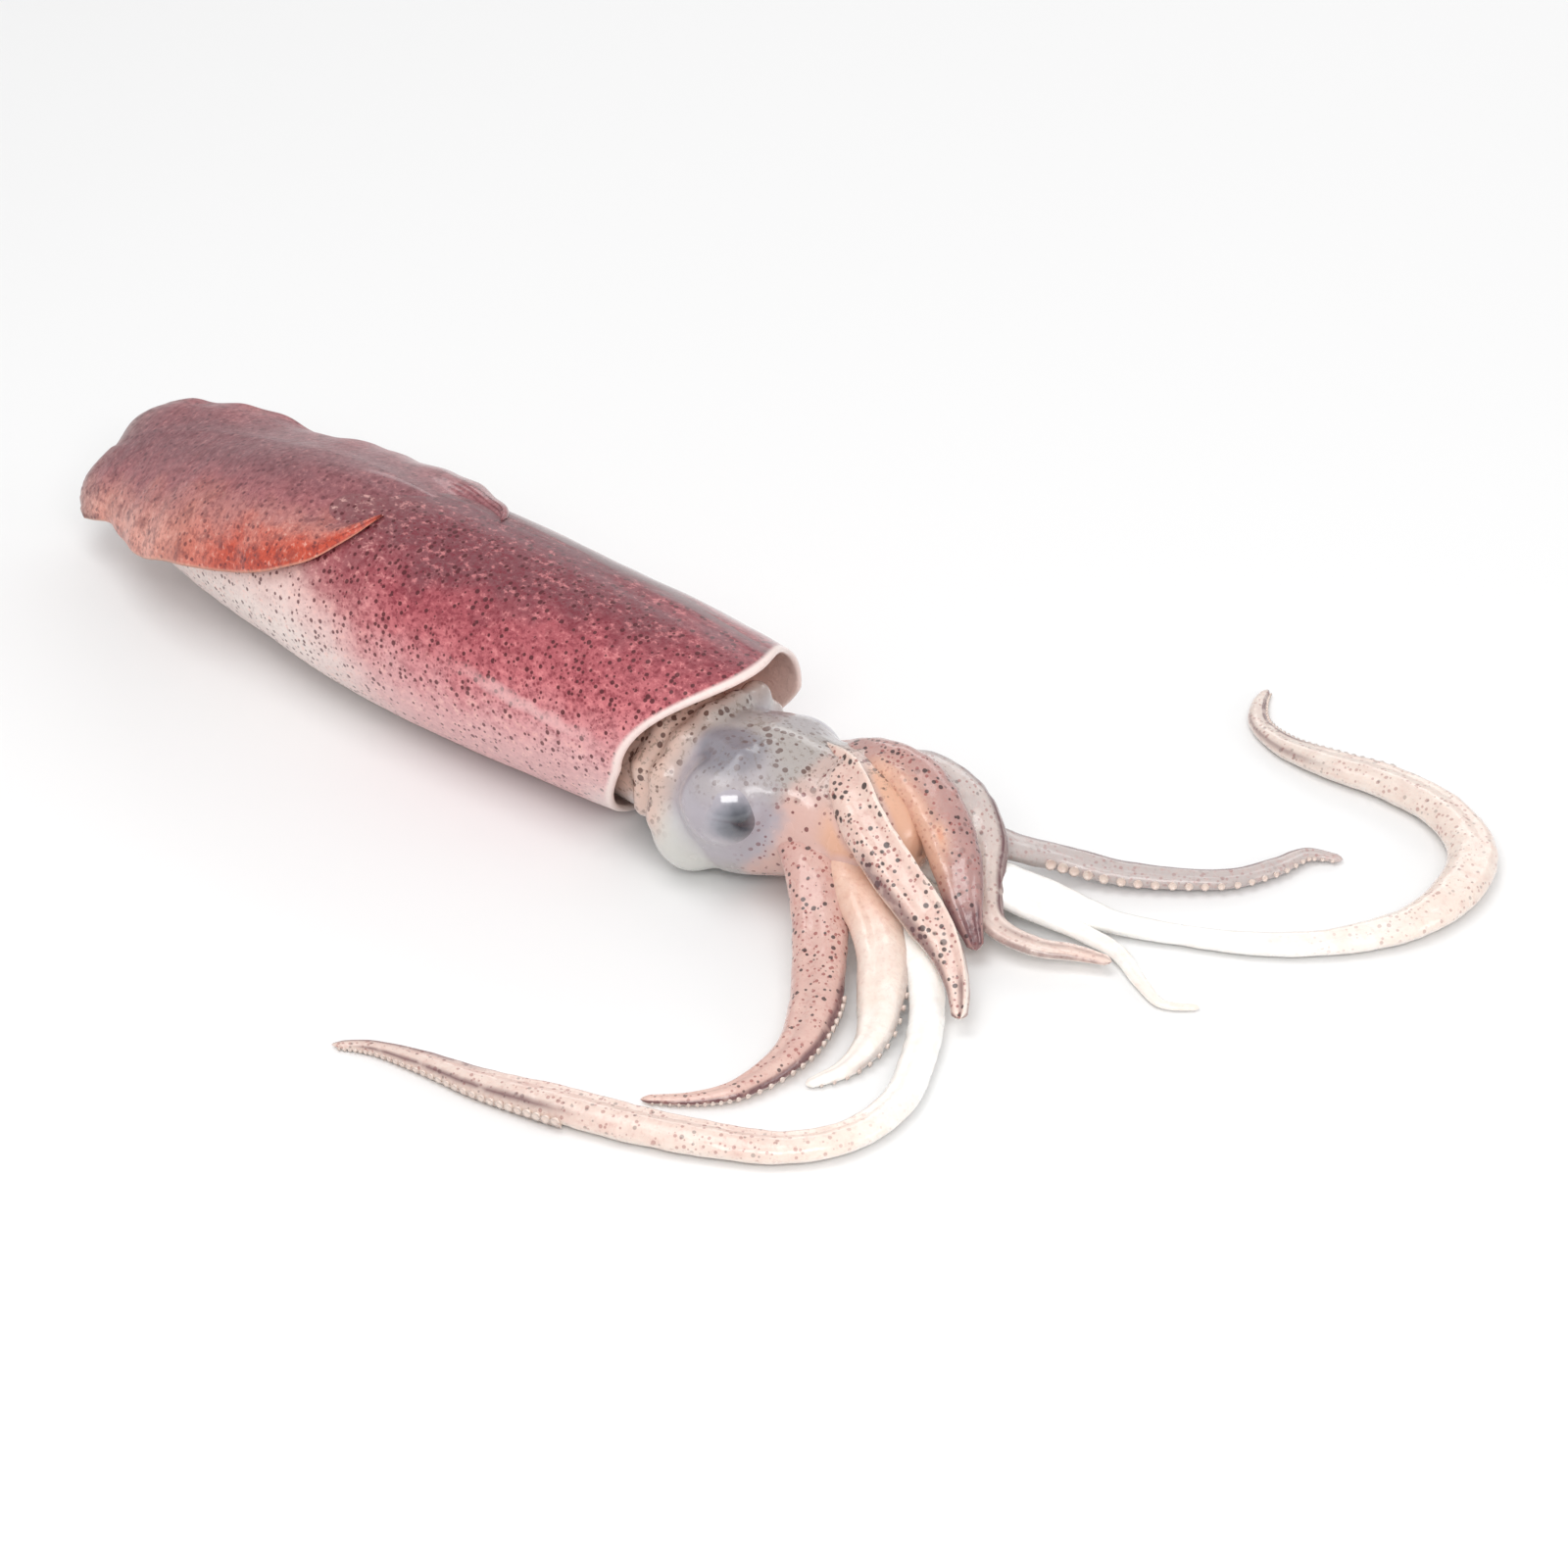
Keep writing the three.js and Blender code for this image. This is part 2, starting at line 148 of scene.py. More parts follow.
# Each limb: its route as (x, y, z, width) in millimetres, its thickness as a share of its width,
# and at its root and its tip how pink (tone), how dotted and how grey with painted shade (cool) it is.
# change is where along it pink and dots go from root to tip, keel how high its ridge stands.
# lines are dark lines: where across it (-1 to 1), from and to along it, and how strong.
# warm are orange patches: where across it, how wide, from and to along it, and how strong.
ARMS = {
    "arm_right_ventral": dict(
        route=(
            (104, -6, 17, 11), (114, -13, 14.5, 11.4), (122, -20, 9.5, 11), (129, -28.5, 5.5, 10.6),
            (135.5, -38, 3.8, 10), (140, -49.5, 2.8, 7.6), (139, -64, 2, 5), (134, -71, 1.4, 3.4),
            (126, -77, 0.8, 2),
        ),
        share=0.62, tone=(0.95, 0.75), dots=(1.1, 0.8), lines=((1, 0.42, 1.0, 0.9),), keel=0.0,
    ),
    "arm_right_lateral": dict(
        route=(
            (102, 2, 24, 9.4), (113, -1.5, 26.5, 9.6), (124, -7.5, 23, 9.6), (133, -10.5, 18.5, 9.4),
            (142, -12.5, 14, 8.8), (149, -14.5, 10.5, 6.8), (155, -18.5, 7.5, 4.8), (159.5, -23.5, 5, 3),
        ),
        share=0.85, tone=(0.65, 0.6), dots=(1.6, 1.2), keel=0.6,
        lines=((-1, 0.35, 1.0, 0.7), (1, 0.1, 1.0, 0.6), (0.1, 0.84, 1.0, 0.8)),
    ),
    "arm_right_dorsal": dict(
        route=(
            (101, 8, 23, 10), (112, 9.5, 27, 11.4), (122, 9, 27, 12.4), (130, 7, 22.5, 12),
            (137, 3.5, 16.5, 10.6), (142, 0, 10.5, 7.6), (147.5, -3, 4, 3),
        ),
        share=0.6, tone=(1.25, 1.45), dots=(1.3, 1.1), keel=0.0,
        lines=(
            (1, 0.3, 1.0, 0.5), (0.5, 0.84, 1.0, 1.0), (0.2, 0.86, 1.0, 1.0), (-0.1, 0.86, 1.0, 1.0),
            (-0.4, 0.84, 1.0, 1.0), (-1, 0.8, 1.0, 0.8),
        ),
        warm=((-0.85, 0.5, 0.2, 0.75, 1.0), (-0.4, 0.26, 0.54, 0.62, 2.0)),
    ),
    "arm_left_dorsal": dict(
        route=(
            (103, 12, 18, 10), (117, 16.5, 23, 11.4), (127, 18, 20, 11.6), (133.5, 16, 14, 10.6),
            (139, 10, 8.5, 8), (145.5, 4.6, 5.5, 5.6), (155, 5, 4.2, 5.4), (162, 9, 3.6, 4.6),
            (169, 12, 3, 2.6),
        ),
        share=0.55, tone=(0.35, 0.5), dots=(0.7, 0.4), cool=(1.3, -0.2), keel=0.0,
        lines=((0.7, 0.1, 0.6, 1.0), (1, 0.1, 1.0, 0.8), (-1, 0.5, 1.0, 0.6), (0.0, 0.66, 1.0, 0.45)),
    ),
    "arm_left_lateral": dict(
        route=(
            (108, 12, 18, 10), (124, 17, 14, 9), (134, 24, 8.5, 7.4), (142, 32, 4.5, 6.8),
            (152, 37, 3, 6.4), (162, 43.5, 2.5, 5.4), (170, 51, 2.2, 5), (174, 60, 2, 4.6),
            (176, 68, 1.6, 3.4), (182, 72, 0.9, 2),
        ),
        share=0.7, tone=(0.5, 0.8), dots=(0.45, 0.5), cool=(1.3, 1.0), keel=0.0,
        lines=((0.42, 0.12, 1.0, 1.0), (1, 0.12, 1.0, 0.5)),
    ),
    "arm_left_ventral": dict(
        route=(
            (114, 6, 13, 9), (130, 10, 9, 7.4), (147, 13, 5.5, 5.6), (158, 16, 3, 4.4),
            (167, 16.5, 1.8, 3.8), (176, 12, 1.3, 3), (183, 9.5, 1, 2.2), (189, 13.5, 0.7, 1.6),
        ),
        share=0.7, tone=(0.0, 0.2), dots=(0.0, 0.0), lines=(), keel=0.0,
    ),
    "arm_inner_right": dict(
        route=(
            (112, -6, 15, 11), (126, -12, 12, 11), (136, -18, 8, 10.6), (143, -27, 4.5, 9.4),
            (149, -37, 2.8, 6.6), (150, -46, 1.8, 4.4), (147, -54, 1, 2.2),
        ),
        share=0.66, tone=(0.5, 0.1), dots=(0.1, 0.0), lines=((1, 0.2, 0.8, 0.35),), keel=0.0,
        warm=((0.0, 3.0, 0.0, 0.28, 0.8),),
    ),
    "arm_inner_left": dict(
        route=(
            (112, 4, 11, 10), (124, 5, 7, 8), (132, 10, 3.6, 6.4), (137, 18, 2.4, 4.8),
            (139, 26, 1.4, 2.4),
        ),
        share=0.7, tone=(0.1, 0.2), dots=(0.1, 0.1), lines=(), keel=0.0,
    ),
}
TENTACLES = {
    "tentacle_right": dict(
        route=(
            (114, -4, 12, 8), (130, -9, 9.5, 7.6), (144, -16, 6.5, 7.2), (152, -24, 3.8, 7),
            (160, -37, 3, 7), (165, -50, 2.8, 7.2), (164, -63, 2.8, 7.4), (157, -73, 2.8, 7.6),
            (145, -80, 3, 8.4), (130, -86, 3, 9), (116, -90, 2.8, 8.8), (102, -93.5, 2.2, 7),
            (88, -95.5, 1.7, 5), (77, -98, 1.2, 3.2), (70, -102, 0.7, 1.8),
        ),
        share=0.66, change=(0.28, 0.55), tone=(0.0, 0.5), dots=(0.0, 0.66), cool=(-0.2, 0.26), keel=0.0,
        lines=(
            (0.75, 0.7, 0.92, 0.85), (-0.45, 0.8, 1.0, 0.85), (-0.7, 0.78, 1.0, 1.0),
            (-1, 0.35, 0.7, 0.3),
        ),
    ),
    "tentacle_left": dict(
        route=(
            (114, 8, 12, 9), (132, 12, 8, 12), (147, 18, 5, 10.4), (161, 23, 2.8, 6),
            (174, 29, 2.2, 5.2), (187, 36, 2.4, 6), (198, 46, 2.6, 6.6), (206, 60, 3, 8.4),
            (207, 75, 3.3, 10), (202, 88, 3.4, 10.2), (190, 96, 3.4, 9.8), (176, 98, 3.2, 9.4),
            (162, 96.5, 2.8, 8), (150, 97, 2, 6), (141, 101, 1.4, 4.4), (136, 108, 1, 3.2),
            (134, 114, 0.7, 1.8),
        ),
        share=0.66, change=(0.25, 0.5), tone=(0.0, 0.36), dots=(0.0, 0.6), cool=(-0.2, 0.36), keel=0.0,
        lines=((-0.55, 0.78, 1.0, 1.0), (-0.8, 0.76, 1.0, 1.0), (0.8, 0.76, 0.88, 0.6)),
    ),
}

# Rows of suckers: limb, from and to along it, side (+1 or -1), angle below the edge in
# radians, cup radius in millimetres at the start and at the end, and how many.
SUCKER_ROWS = (
    ("arm_right_ventral", 0.46, 0.97, 1, 0.1, 0.9, 0.3, 26),
    ("arm_inner_right", 0.30, 0.95, 1, 0.25, 1.0, 0.4, 15),
    ("arm_left_lateral", 0.3, 0.97, -1, -0.2, 1.2, 0.4, 23),
    ("tentacle_right", 0.70, 0.985, 1, 0.1, 1.0, 0.35, 30),
    ("tentacle_right", 0.70, 0.985, 1, 0.7, 0.8, 0.3, 30),
    ("tentacle_left", 0.70, 0.985, -1, 0.1, 1.1, 0.35, 32),
    ("tentacle_left", 0.70, 0.985, -1, 0.7, 0.9, 0.3, 32),
)

SUCKER_TONE = 0.5
SUCKER_SIDES = 9
SUCKER_FOOT = 0.62
SUCKER_HEIGHT = 1.1
SUCKER_RIM = 0.3
SUCKER_MOUTH = 0.35
SUCKER_PROUD = 0.2

# The limbs' sections and skin. The keel and the groove: where across the limb and how wide.
SECTION_SIDE_POWER = 0.85
SECTION_TOP_POWER = 1.25
KEEL = (0.42, 0.2)
GROOVE = (-0.25, 0.22)
GROOVE_DEPTH = 0.14
LIMB_END = 0.02
LIMB_END_WIDTH = 0.02
LIMB_UNEVEN = 0.16
LIMB_UNEVEN_SIZE = 3.2
LIMB_USUAL_WIDTH = 8.0
LINE_SPREAD = 0.15
PALE_STRIP = (0.62, 0.22)
PALE_STRIP_STRENGTH = 1.7

# The camera, in millimetres and degrees.
CAMERA_AZIMUTH = 40.0
CAMERA_ELEVATION = 34.0
CAMERA_DISTANCE = 950.0
CAMERA_PIVOT = (79.0, 23.5, 0.0)
CAMERA_AIM = (78.0, 21.5, 0.0)
CAMERA_LENS = 106.0

# How fine each piece's skin is, as the columns and the rows of its grid. Columns go round a
# piece and rows go along it, except on the fins, where rows go round and columns go along.
MANTLE_GRID = (150, 190)
FINS_GRID = (130, 220)
HEAD_GRID = (170, 220)
EYE_GRID = (64, 48)
ARM_GRID = (40, 150)
TENTACLE_GRID = (36, 320)

# The studio, in metres and watts: for each lamp its place, its aim, its power, width and height.
LAMPS = {
    "key": ((-0.2, 0.8, 0.5), (0.0, 0.0, 0.02), 1.6, 1.1, 0.25),
    "top": ((0.0, -0.3, 1.1), (0.05, 0.0, 0.0), 4.2, 0.7, 0.7),
    "front": ((0.56, -0.5, 0.62), (0.09, -0.01, 0.02), 3.2, 0.7, 0.24),
    "side": ((0.95, 0.3, 0.3), (0.09, -0.01, 0.02), 0.8, 0.3, 0.22),
}
FLOOR_HALF_WIDTH = 3.0


def srgb(red, green, blue):
    """A colour given as 0 to 255 on screen, as the linear values that a shader takes."""
    return tuple(
        (c / 255 / 12.92 if c <= 10 else ((c / 255 + 0.055) / 1.055) ** 2.4)
        for c in (red, green, blue)
    )


def smooth(low, high, value):
    """0 at low, 1 at high, and a soft rise between them."""
    share = np.clip((value - low) / (high - low), 0.0, 1.0)
    return share * share * (3.0 - 2.0 * share)


def lerp(start, end, share):
    return start + (end - start) * share


def bell(value, centre, spread):
    return np.exp(-(((value - centre) / spread) ** 2))


def wobble(points, size, seed=0.0):
    """Smooth noise from about -1 to 1 at each point, with waves of that size."""
    return np.array([noise.noise(Vector(p) / size + Vector((seed, seed, seed))) for p in points])


def uneven(points, waves):
    """The sum of some noises, each given as its height, the size of its waves and its seed."""
    return sum(height * wobble(points, size, seed) for height, size, seed in waves)


def rest(points):
    """Flesh settles on the surface that it lies on, so nothing goes below it."""
    soft = 0.35
    height = points[:, 2]
    points[:, 2] = 0.5 * (height + np.sqrt(height * height + soft * soft))
    return points


# ---------------------------------------------------------------- pieces


def skin(name, columns, rows, place, marks):
    """A closed skin: a grid whose points are sent to their places, then sewn at its seams.

    place takes the arrays across and up the grid, each from 0 to 1, and returns the points in
    millimetres and one array of values for each mark.
    """
    made = bmesh.new()
    made.loops.layers.uv.new("UVMap")
    bmesh.ops.create_grid(made, x_segments=columns, y_segments=rows, size=0.5, calc_uvs=True)
    flat = np.array([v.co for v in made.verts])
    points, values = place(flat[:, 0] + 0.5, flat[:, 1] + 0.5)
    layers = [made.verts.layers.float.new(mark) for mark in marks]
    for index, vert in enumerate(made.verts):
        vert.co = Vector(points[index]) * MM
        for layer, value in zip(layers, values):
            vert[layer] = float(value[index])
    bmesh.ops.remove_doubles(made, verts=made.verts, dist=2e-6)
    bmesh.ops.recalc_face_normals(made, faces=made.faces)
    return finish_piece(name, made)


def finish_piece(name, made):
    mesh = bpy.data.meshes.new(name)
    made.to_mesh(mesh)
    made.free()
    mesh.polygons.foreach_set("use_smooth", [True] * len(mesh.polygons))
    piece = bpy.data.objects.new(name, mesh)
    bpy.context.scene.collection.objects.link(piece)
    return piece


def settle(piece, material):
    piece.data.materials.append(material)
    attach(piece, BODY)
    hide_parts(NODE)


# ---------------------------------------------------------------- mantle and fins


def mantle_radius(x, radius):
    from_tail = np.maximum(x - TAIL_X, 0.0)
    along = np.minimum(from_tail / TAIL_TAPER, 1.0)
    nose = (1.0 - (1.0 - along) ** TAIL_FULLNESS) ** TAIL_ROUNDNESS
    past = np.maximum(from_tail - TAIL_TAPER, 0.0) / (RIM_X - TAIL_X - TAIL_TAPER)
    return radius * nose * (1.0 - RIM_NARROWING * past * past)


def left_flap(angle):
    return np.maximum(np.cos(angle - FLAP_ANGLE), 0.0) ** FLAP_NARROWNESS


def rim_x(angle):
    back = np.maximum(np.cos(angle), 0.0) ** 2
    belly = np.maximum(-np.cos(angle), 0.0)
    return RIM_X + DORSAL_LOBE * back - BELLY_CUTBACK * belly + LEFT_FLAP * left_flap(angle)


def on_mantle(x, angle, inset, radius):
    """A point on the mantle: angle 0 is the back, positive towards the left side."""
    flare = FLAP_FLARE * LEFT_FLAP * left_flap(angle) * smooth(RIM_X - 30.0, RIM_X + 6.0, x)
    out = np.maximum(mantle_radius(x, radius) + flare - inset, 0.0)
    from_tail = x - TAIL_X
    axis_y = TAIL_AXIS_Y * (1.0 - smooth(0.0, TAIL_SWING_LENGTH, from_tail))
    axis_z = lerp(TAIL_AXIS_Z, BODY_AXIS_Z, smooth(0.0, TAIL_DROP_LENGTH, from_tail))
    y = axis_y + np.sin(angle) * out * MANTLE_WIDTH
    z = axis_z + np.cos(angle) * out * MANTLE_HEIGHT
    return np.stack([x, y, z], axis=1)


def from_axis(points):
    """The direction from the body's axis to each point, square to the axis."""
    outward = points - np.array((0.0, 0.0, BODY_AXIS_Z))
    outward[:, 0] = 0.0
    return outward / np.maximum(np.linalg.norm(outward, axis=1), 1e-3)[:, None]


def mantle_piece(settings):
    """The mantle from the tail to the rim, round the lip and back inside to a closed end."""
    radius = settings.mantle_radius / MM
    lip = settings.rim_wall / MM / 2.0

    def place(across, up):
        angle = (across - 0.5) * 2.0 * math.pi
        edge = rim_x(angle)
        outer = np.clip(up / OUTER_SHARE, 0.0, 1.0) ** RING_CROWDING
        turn = np.clip((up - OUTER_SHARE) / LIP_SHARE, 0.0, 1.0) * math.pi
        inner = np.clip((up - OUTER_SHARE - LIP_SHARE) / (1.0 - OUTER_SHARE - LIP_SHARE), 0.0, 1.0)
        x = lerp(TAIL_X, edge, outer)
        x = x + np.sin(turn) * lip - inner * (INNER_DEPTH + edge - RIM_X)
        inset = (1.0 - np.cos(turn)) * lip + INNER_THINNING * smooth(0.0, 0.3, inner)
        points = on_mantle(x, angle, inset, radius)
        swell = uneven(points, SWELLS) - SWELL_INSET
        swell *= smooth(0.0, 10.0, points[:, 0] - TAIL_X)
        under_fins = smooth(4.0, -10.0, points[:, 0]) * smooth(0.1, 0.6, np.cos(angle))
        swell -= SUNK_UNDER_FINS * under_fins * (up < OUTER_SHARE)
        points += from_axis(points) * swell[:, None]
        points[up <= 1e-6] = (TAIL_X, TAIL_AXIS_Y, TAIL_AXIS_Z)
        points[up >= 1.0 - 1e-6] = (RIM_X - INNER_DEPTH, 0.0, BODY_AXIS_Z)
        inside = smooth(0.15, 1.0, turn / math.pi)
        to_rim = (edge - points[:, 0]) / 10.0
        return rest(points), (np.cos(angle), np.sin(angle), inside, inner, to_rim)

    return skin("mantle", *MANTLE_GRID, place, ("back", "side", "inside", "deep", "to_rim"))


def fin_width(along, spec, width):
    behind = lerp(spec["rear"], 1.0, smooth(0.0, spec["full"], along))
    to_front = np.maximum(along - FIN_WIDEST, 0.0) / (1.0 - FIN_WIDEST)
    front = np.sqrt(np.maximum(1.0 - to_front ** spec["blunt"], 0.0))
    return width * spec["wide"] * behind * np.maximum(front, spec["lobe"])


def fin_side(spec, along, over, width, radius):
    """Where one fin's middle layer lies at a share of the way out, and how far it has turned.

    From the back line the sheet first follows the mantle, and past FIN_MIDDLE it is the fin.
    """
    tail = 1.0 - smooth(0.0, FIN_TILT_END, along)
    middle_front = (RIGHT_FIN["front"] + LEFT_FIN["front"]) / 2.0
    front = lerp(middle_front, spec["front"], smooth(0.0, FIN_MIDDLE, over))
    x = lerp(FIN_REAR_X + FIN_CORNER * over ** 5, front, along)
    scallops = sum(size * np.sin(along * often + start) for size, often, start in FIN_SCALLOPS)
    reach = fin_width(along, spec, width) + scallops * smooth(0.6, 0.0, along)
    girth = mantle_radius(np.maximum(x, TAIL_X + TAIL_TIP_LENGTH), radius) + FIN_ROOT_THICKNESS
    droop = lerp(spec["droop"][0], spec["droop"][1], smooth(0.3, 0.75, along))
    centre = on_mantle(x, 0.0 * x, FIN_ROOT_THICKNESS * 0.5, radius)
    centre[:, 2] += FIN_LIFT * tail
    bridge = FIN_ROOT_ANGLE * mantle_radius(x, radius)
    start = FIN_ROOT_ANGLE - spec["rise"] * (1.0 - smooth(0.0, spec["fade"], along))
    tilt = -spec["side"] * FIN_TILT * tail

    def turned(share):
        middle = np.clip(share / FIN_MIDDLE, 0.0, 1.0)
        out = np.clip((share - FIN_MIDDLE) / (1.0 - FIN_MIDDLE), 0.0, 1.0)
        root = tilt + FIN_ROOT_ANGLE * middle * (1.0 - tail)
        return lerp(root, start, smooth(0.0, 0.35, out)) + droop / girth * out * reach

    outward, down = 0.0 * x, 0.0 * x
    for step in range(SHEET_STEPS):
        share = over * (step + 0.5) / SHEET_STEPS
        pace = np.where(share < FIN_MIDDLE, bridge / FIN_MIDDLE, reach / (1.0 - FIN_MIDDLE))
        length = pace * over / SHEET_STEPS
        outward = outward + np.cos(turned(share)) * length
        down = down + np.sin(turned(share)) * length
    return x, centre[:, 1] + spec["side"] * outward, centre[:, 2] - down, turned(over)


def fin_ruffle(along, out):
    """Long and short ripples that grow towards the margin, in millimetres."""
    long_waves = 0.45 * np.sin(along * 23.0 + 2.0) * out ** 2
    return long_waves + 0.22 * np.sin(along * 57.0 + out * 4.0) * out


def fins_piece(settings):
    """Both fins are one sheet, which runs over the back from margin to margin."""
    width = settings.fin_width / MM
    radius = settings.mantle_radius / MM

    def place(across, up):
        along = across
        over = np.where(up < 0.5, 4.0 * up - 1.0, 3.0 - 4.0 * up)
        face = np.where(up < 0.5, 1.0, -1.0)
        side = np.where(over < 0.0, -1.0, 1.0)
        out = np.clip((np.abs(over) - FIN_MIDDLE) / (1.0 - FIN_MIDDLE), 0.0, 1.0)
        right = fin_side(RIGHT_FIN, along, np.abs(over), width, radius)
        left = fin_side(LEFT_FIN, along, np.abs(over), width, radius)
        x, y, z, turn = (np.where(over < 0.0, r, l) for r, l in zip(right, left))
        end = np.minimum(along, 1.0 - along)
        round_off = np.sqrt(np.maximum(1.0 - out ** 8, 0.0)) * np.sqrt(np.clip(end / 0.03, 0.0, 1.0))
        thickness = lerp(FIN_ROOT_THICKNESS, FIN_EDGE_THICKNESS, out)
        proud = lerp(0.45, 1.7, smooth(0.1, 0.7, out))
        # At the front end the root sinks into the mantle.
        proud = proud - 2.6 * smooth(0.7, 1.0, along) * (1.0 - smooth(0.3, 0.75, out))
        lift = face * 0.5 * round_off * thickness + fin_ruffle(along, out) + proud
        points = np.stack([x, y + side * np.sin(turn) * lift, z + np.cos(turn) * lift], axis=1)
        points[:, 0] += 0.8 * np.sin(over * 6.0 + 1.0) * (1.0 - along) ** 8
        return rest(points), (along, out, over)

    return skin("fins", *FINS_GRID, place, ("along", "reach", "over"))


# ---------------------------------------------------------------- head


def ball(points, centre, size):
    near = (points - np.array(centre)) / np.array(size)
    outer = np.linalg.norm(near, axis=-1)
    slope = np.linalg.norm(near / np.array(size), axis=-1)
    return outer * (outer - 1.0) / np.maximum(slope, 1e-6)


def rod(points, start, end, first, last):
    start, end = np.array(start), np.array(end)
    run = end - start
    share = np.clip(((points - start) @ run) / (run @ run), 0.0, 1.0)
    return np.linalg.norm(points - start - share[..., None] * run, axis=-1) - lerp(first, last, share)


def melt(first, second, width):
    share = np.clip(0.5 + 0.5 * (second - first) / width, 0.0, 1.0)
    return lerp(second, first, share) - width * share * (1.0 - share)


def chain(points, stops, width):
    found = None
    for (ax, ay, az, ar), (bx, by, bz, br) in zip(stops, stops[1:]):
        link = rod(points, (ax, ay, az), (bx, by, bz), ar, br)
        found = link if found is None else melt(found, link, width)
    return found


def head_field(points):
    """How far outside the head's skin each point is, in millimetres, negative inside."""
    neck_start, neck_end, neck_radius = NECK
    found = rod(points, neck_start, neck_end, neck_radius, neck_radius)
    for centre, size, width in SKULL:
        found = melt(found, ball(points, centre, size), width)
    for centre in CHEEKS:
        found = melt(found, ball(points, centre, CHEEK_SIZE), CHEEK_MELT)
    for stops, width in FOLDS:
        found = melt(found, chain(points, stops, FOLD_MELT), width)
    centre, size, width = CROWN
    found = melt(found, ball(points, centre, size), width)
    for name, (radius, width) in SOCKETS.items():
        found = melt(found, ball(points, EYES[name][0], (radius, radius, radius)), width)
    for arm in ARMS.values():
        stops = [(x, y, z, w / 2 * arm["share"] * 0.8) for x, y, z, w in arm["route"][:3]]
        found = melt(found, chain(points, stops, 1.0), 2.0)
    return found


def near_arms(points):
    """How far each point is from the roots of the arms, in millimetres."""
    gaps = []
    for arm in ARMS.values():
        stops = [(x, y, z, w / 2 * arm["share"]) for x, y, z, w in arm["route"][:3]]
        gaps.append(chain(points, stops, 1.0))
    return np.min(gaps, axis=0)


def head_piece():
    def place(across, up):
        angle = (across - 0.5) * 2.0 * math.pi
        x = lerp(HEAD_FROM, HEAD_TO, up)
        middle = np.stack(
            [x, lerp(-3.0, 1.5, smooth(84.0, 112.0, x)), 16.5 + 1.5 * smooth(80.0, 60.0, x)], axis=1
        )
        ray = np.stack([0.0 * x, np.sin(angle), np.cos(angle)], axis=1)
        far = np.zeros(len(x))
        for _ in range(RAY_STEPS):
            gap = head_field(middle + ray * far[:, None])
            far += np.where(gap < 0.0, np.maximum(-gap * 0.75, 0.004), 0.0)
        far *= smooth(0.0, 0.02, up) * smooth(0.0, 0.004, 1.0 - up)
        points = middle + ray * far[:, None]
        points += ray * (uneven(points, HEAD_UNEVEN) * smooth(0.02, 0.1, up))[:, None]
        gaps = [np.linalg.norm(points - np.array(centre), axis=1) for centre, _ in EYES.values()]
        around_eye = smooth(17.0, 9.6, np.minimum(*gaps))
        cheeks = [smooth(2.5, 0.0, ball(points, centre, CHEEK_SIZE)) for centre in CHEEKS]
        bag = np.maximum(*cheeks) * smooth(24.0, 17.0, points[:, 2]) - 0.5 * around_eye
        bag = np.clip(bag, 0.0, 1.0)
        folds = np.minimum(chain(points, COLLAR, FOLD_MELT), chain(points, NECK_FOLD, FOLD_MELT))
        freckle = np.maximum(smooth(2.2, 0.2, folds) * smooth(14.0, 24.0, points[:, 2]), 0.0)
        freckle = np.maximum(freckle, smooth(24.0, 30.0, points[:, 2]) * smooth(86.0, 94.0, points[:, 0]))
        pink = smooth(98.0, 106.0, points[:, 0] + 0.35 * (16.0 - points[:, 2]))
        web = smooth(112.0, 118.0, points[:, 0]) * smooth(0.6, 2.2, near_arms(points))
        collar = smooth(87.0, 79.0, points[:, 0]) * smooth(8.0, 16.0, points[:, 2])
        lid = smooth(10.5, 3.5, np.linalg.norm(points - np.array(UPPER_LID), axis=1))
        return rest(points), (around_eye, freckle, pink, web, bag, collar, lid)

    marks = ("grey", "freckle", "pink", "web", "bag", "collar", "lid")
    return skin("head", *HEAD_GRID, place, marks)


def eye_piece(name, centre, gaze, radius):
    """A wet globe whose pole looks along the gaze; its marks count from that pole."""
    forward = Vector(gaze).normalized()
    turn = forward.to_track_quat("Z", "Y").to_matrix()
    middle = np.array(Vector(centre) + forward * EYE_FORWARD)
    gaze_core = forward + Vector(CORE_SHIFT)

    def place(across, up):
        angle = across * 2.0 * math.pi
        tilt = up * math.pi
        bulge = radius * (1.0 + CORNEA_BULGE * bell(tilt, 0.0, 0.6))
        flat = np.sin(tilt) * radius
        local = np.stack([flat * np.cos(angle), flat * np.sin(angle), np.cos(tilt) * bulge], axis=1)
        points = local @ np.array(turn.transposed()) + middle
        core = np.array(turn.transposed() @ Vector(gaze_core).normalized())
        from_core = np.arccos(np.clip(local @ core / np.linalg.norm(local, axis=1), -1.0, 1.0))
        return rest(points), (tilt, from_core)

    return skin(name, *EYE_GRID, place, ("from_pupil", "from_core"))


# ---------------------------------------------------------------- arms and tentacles


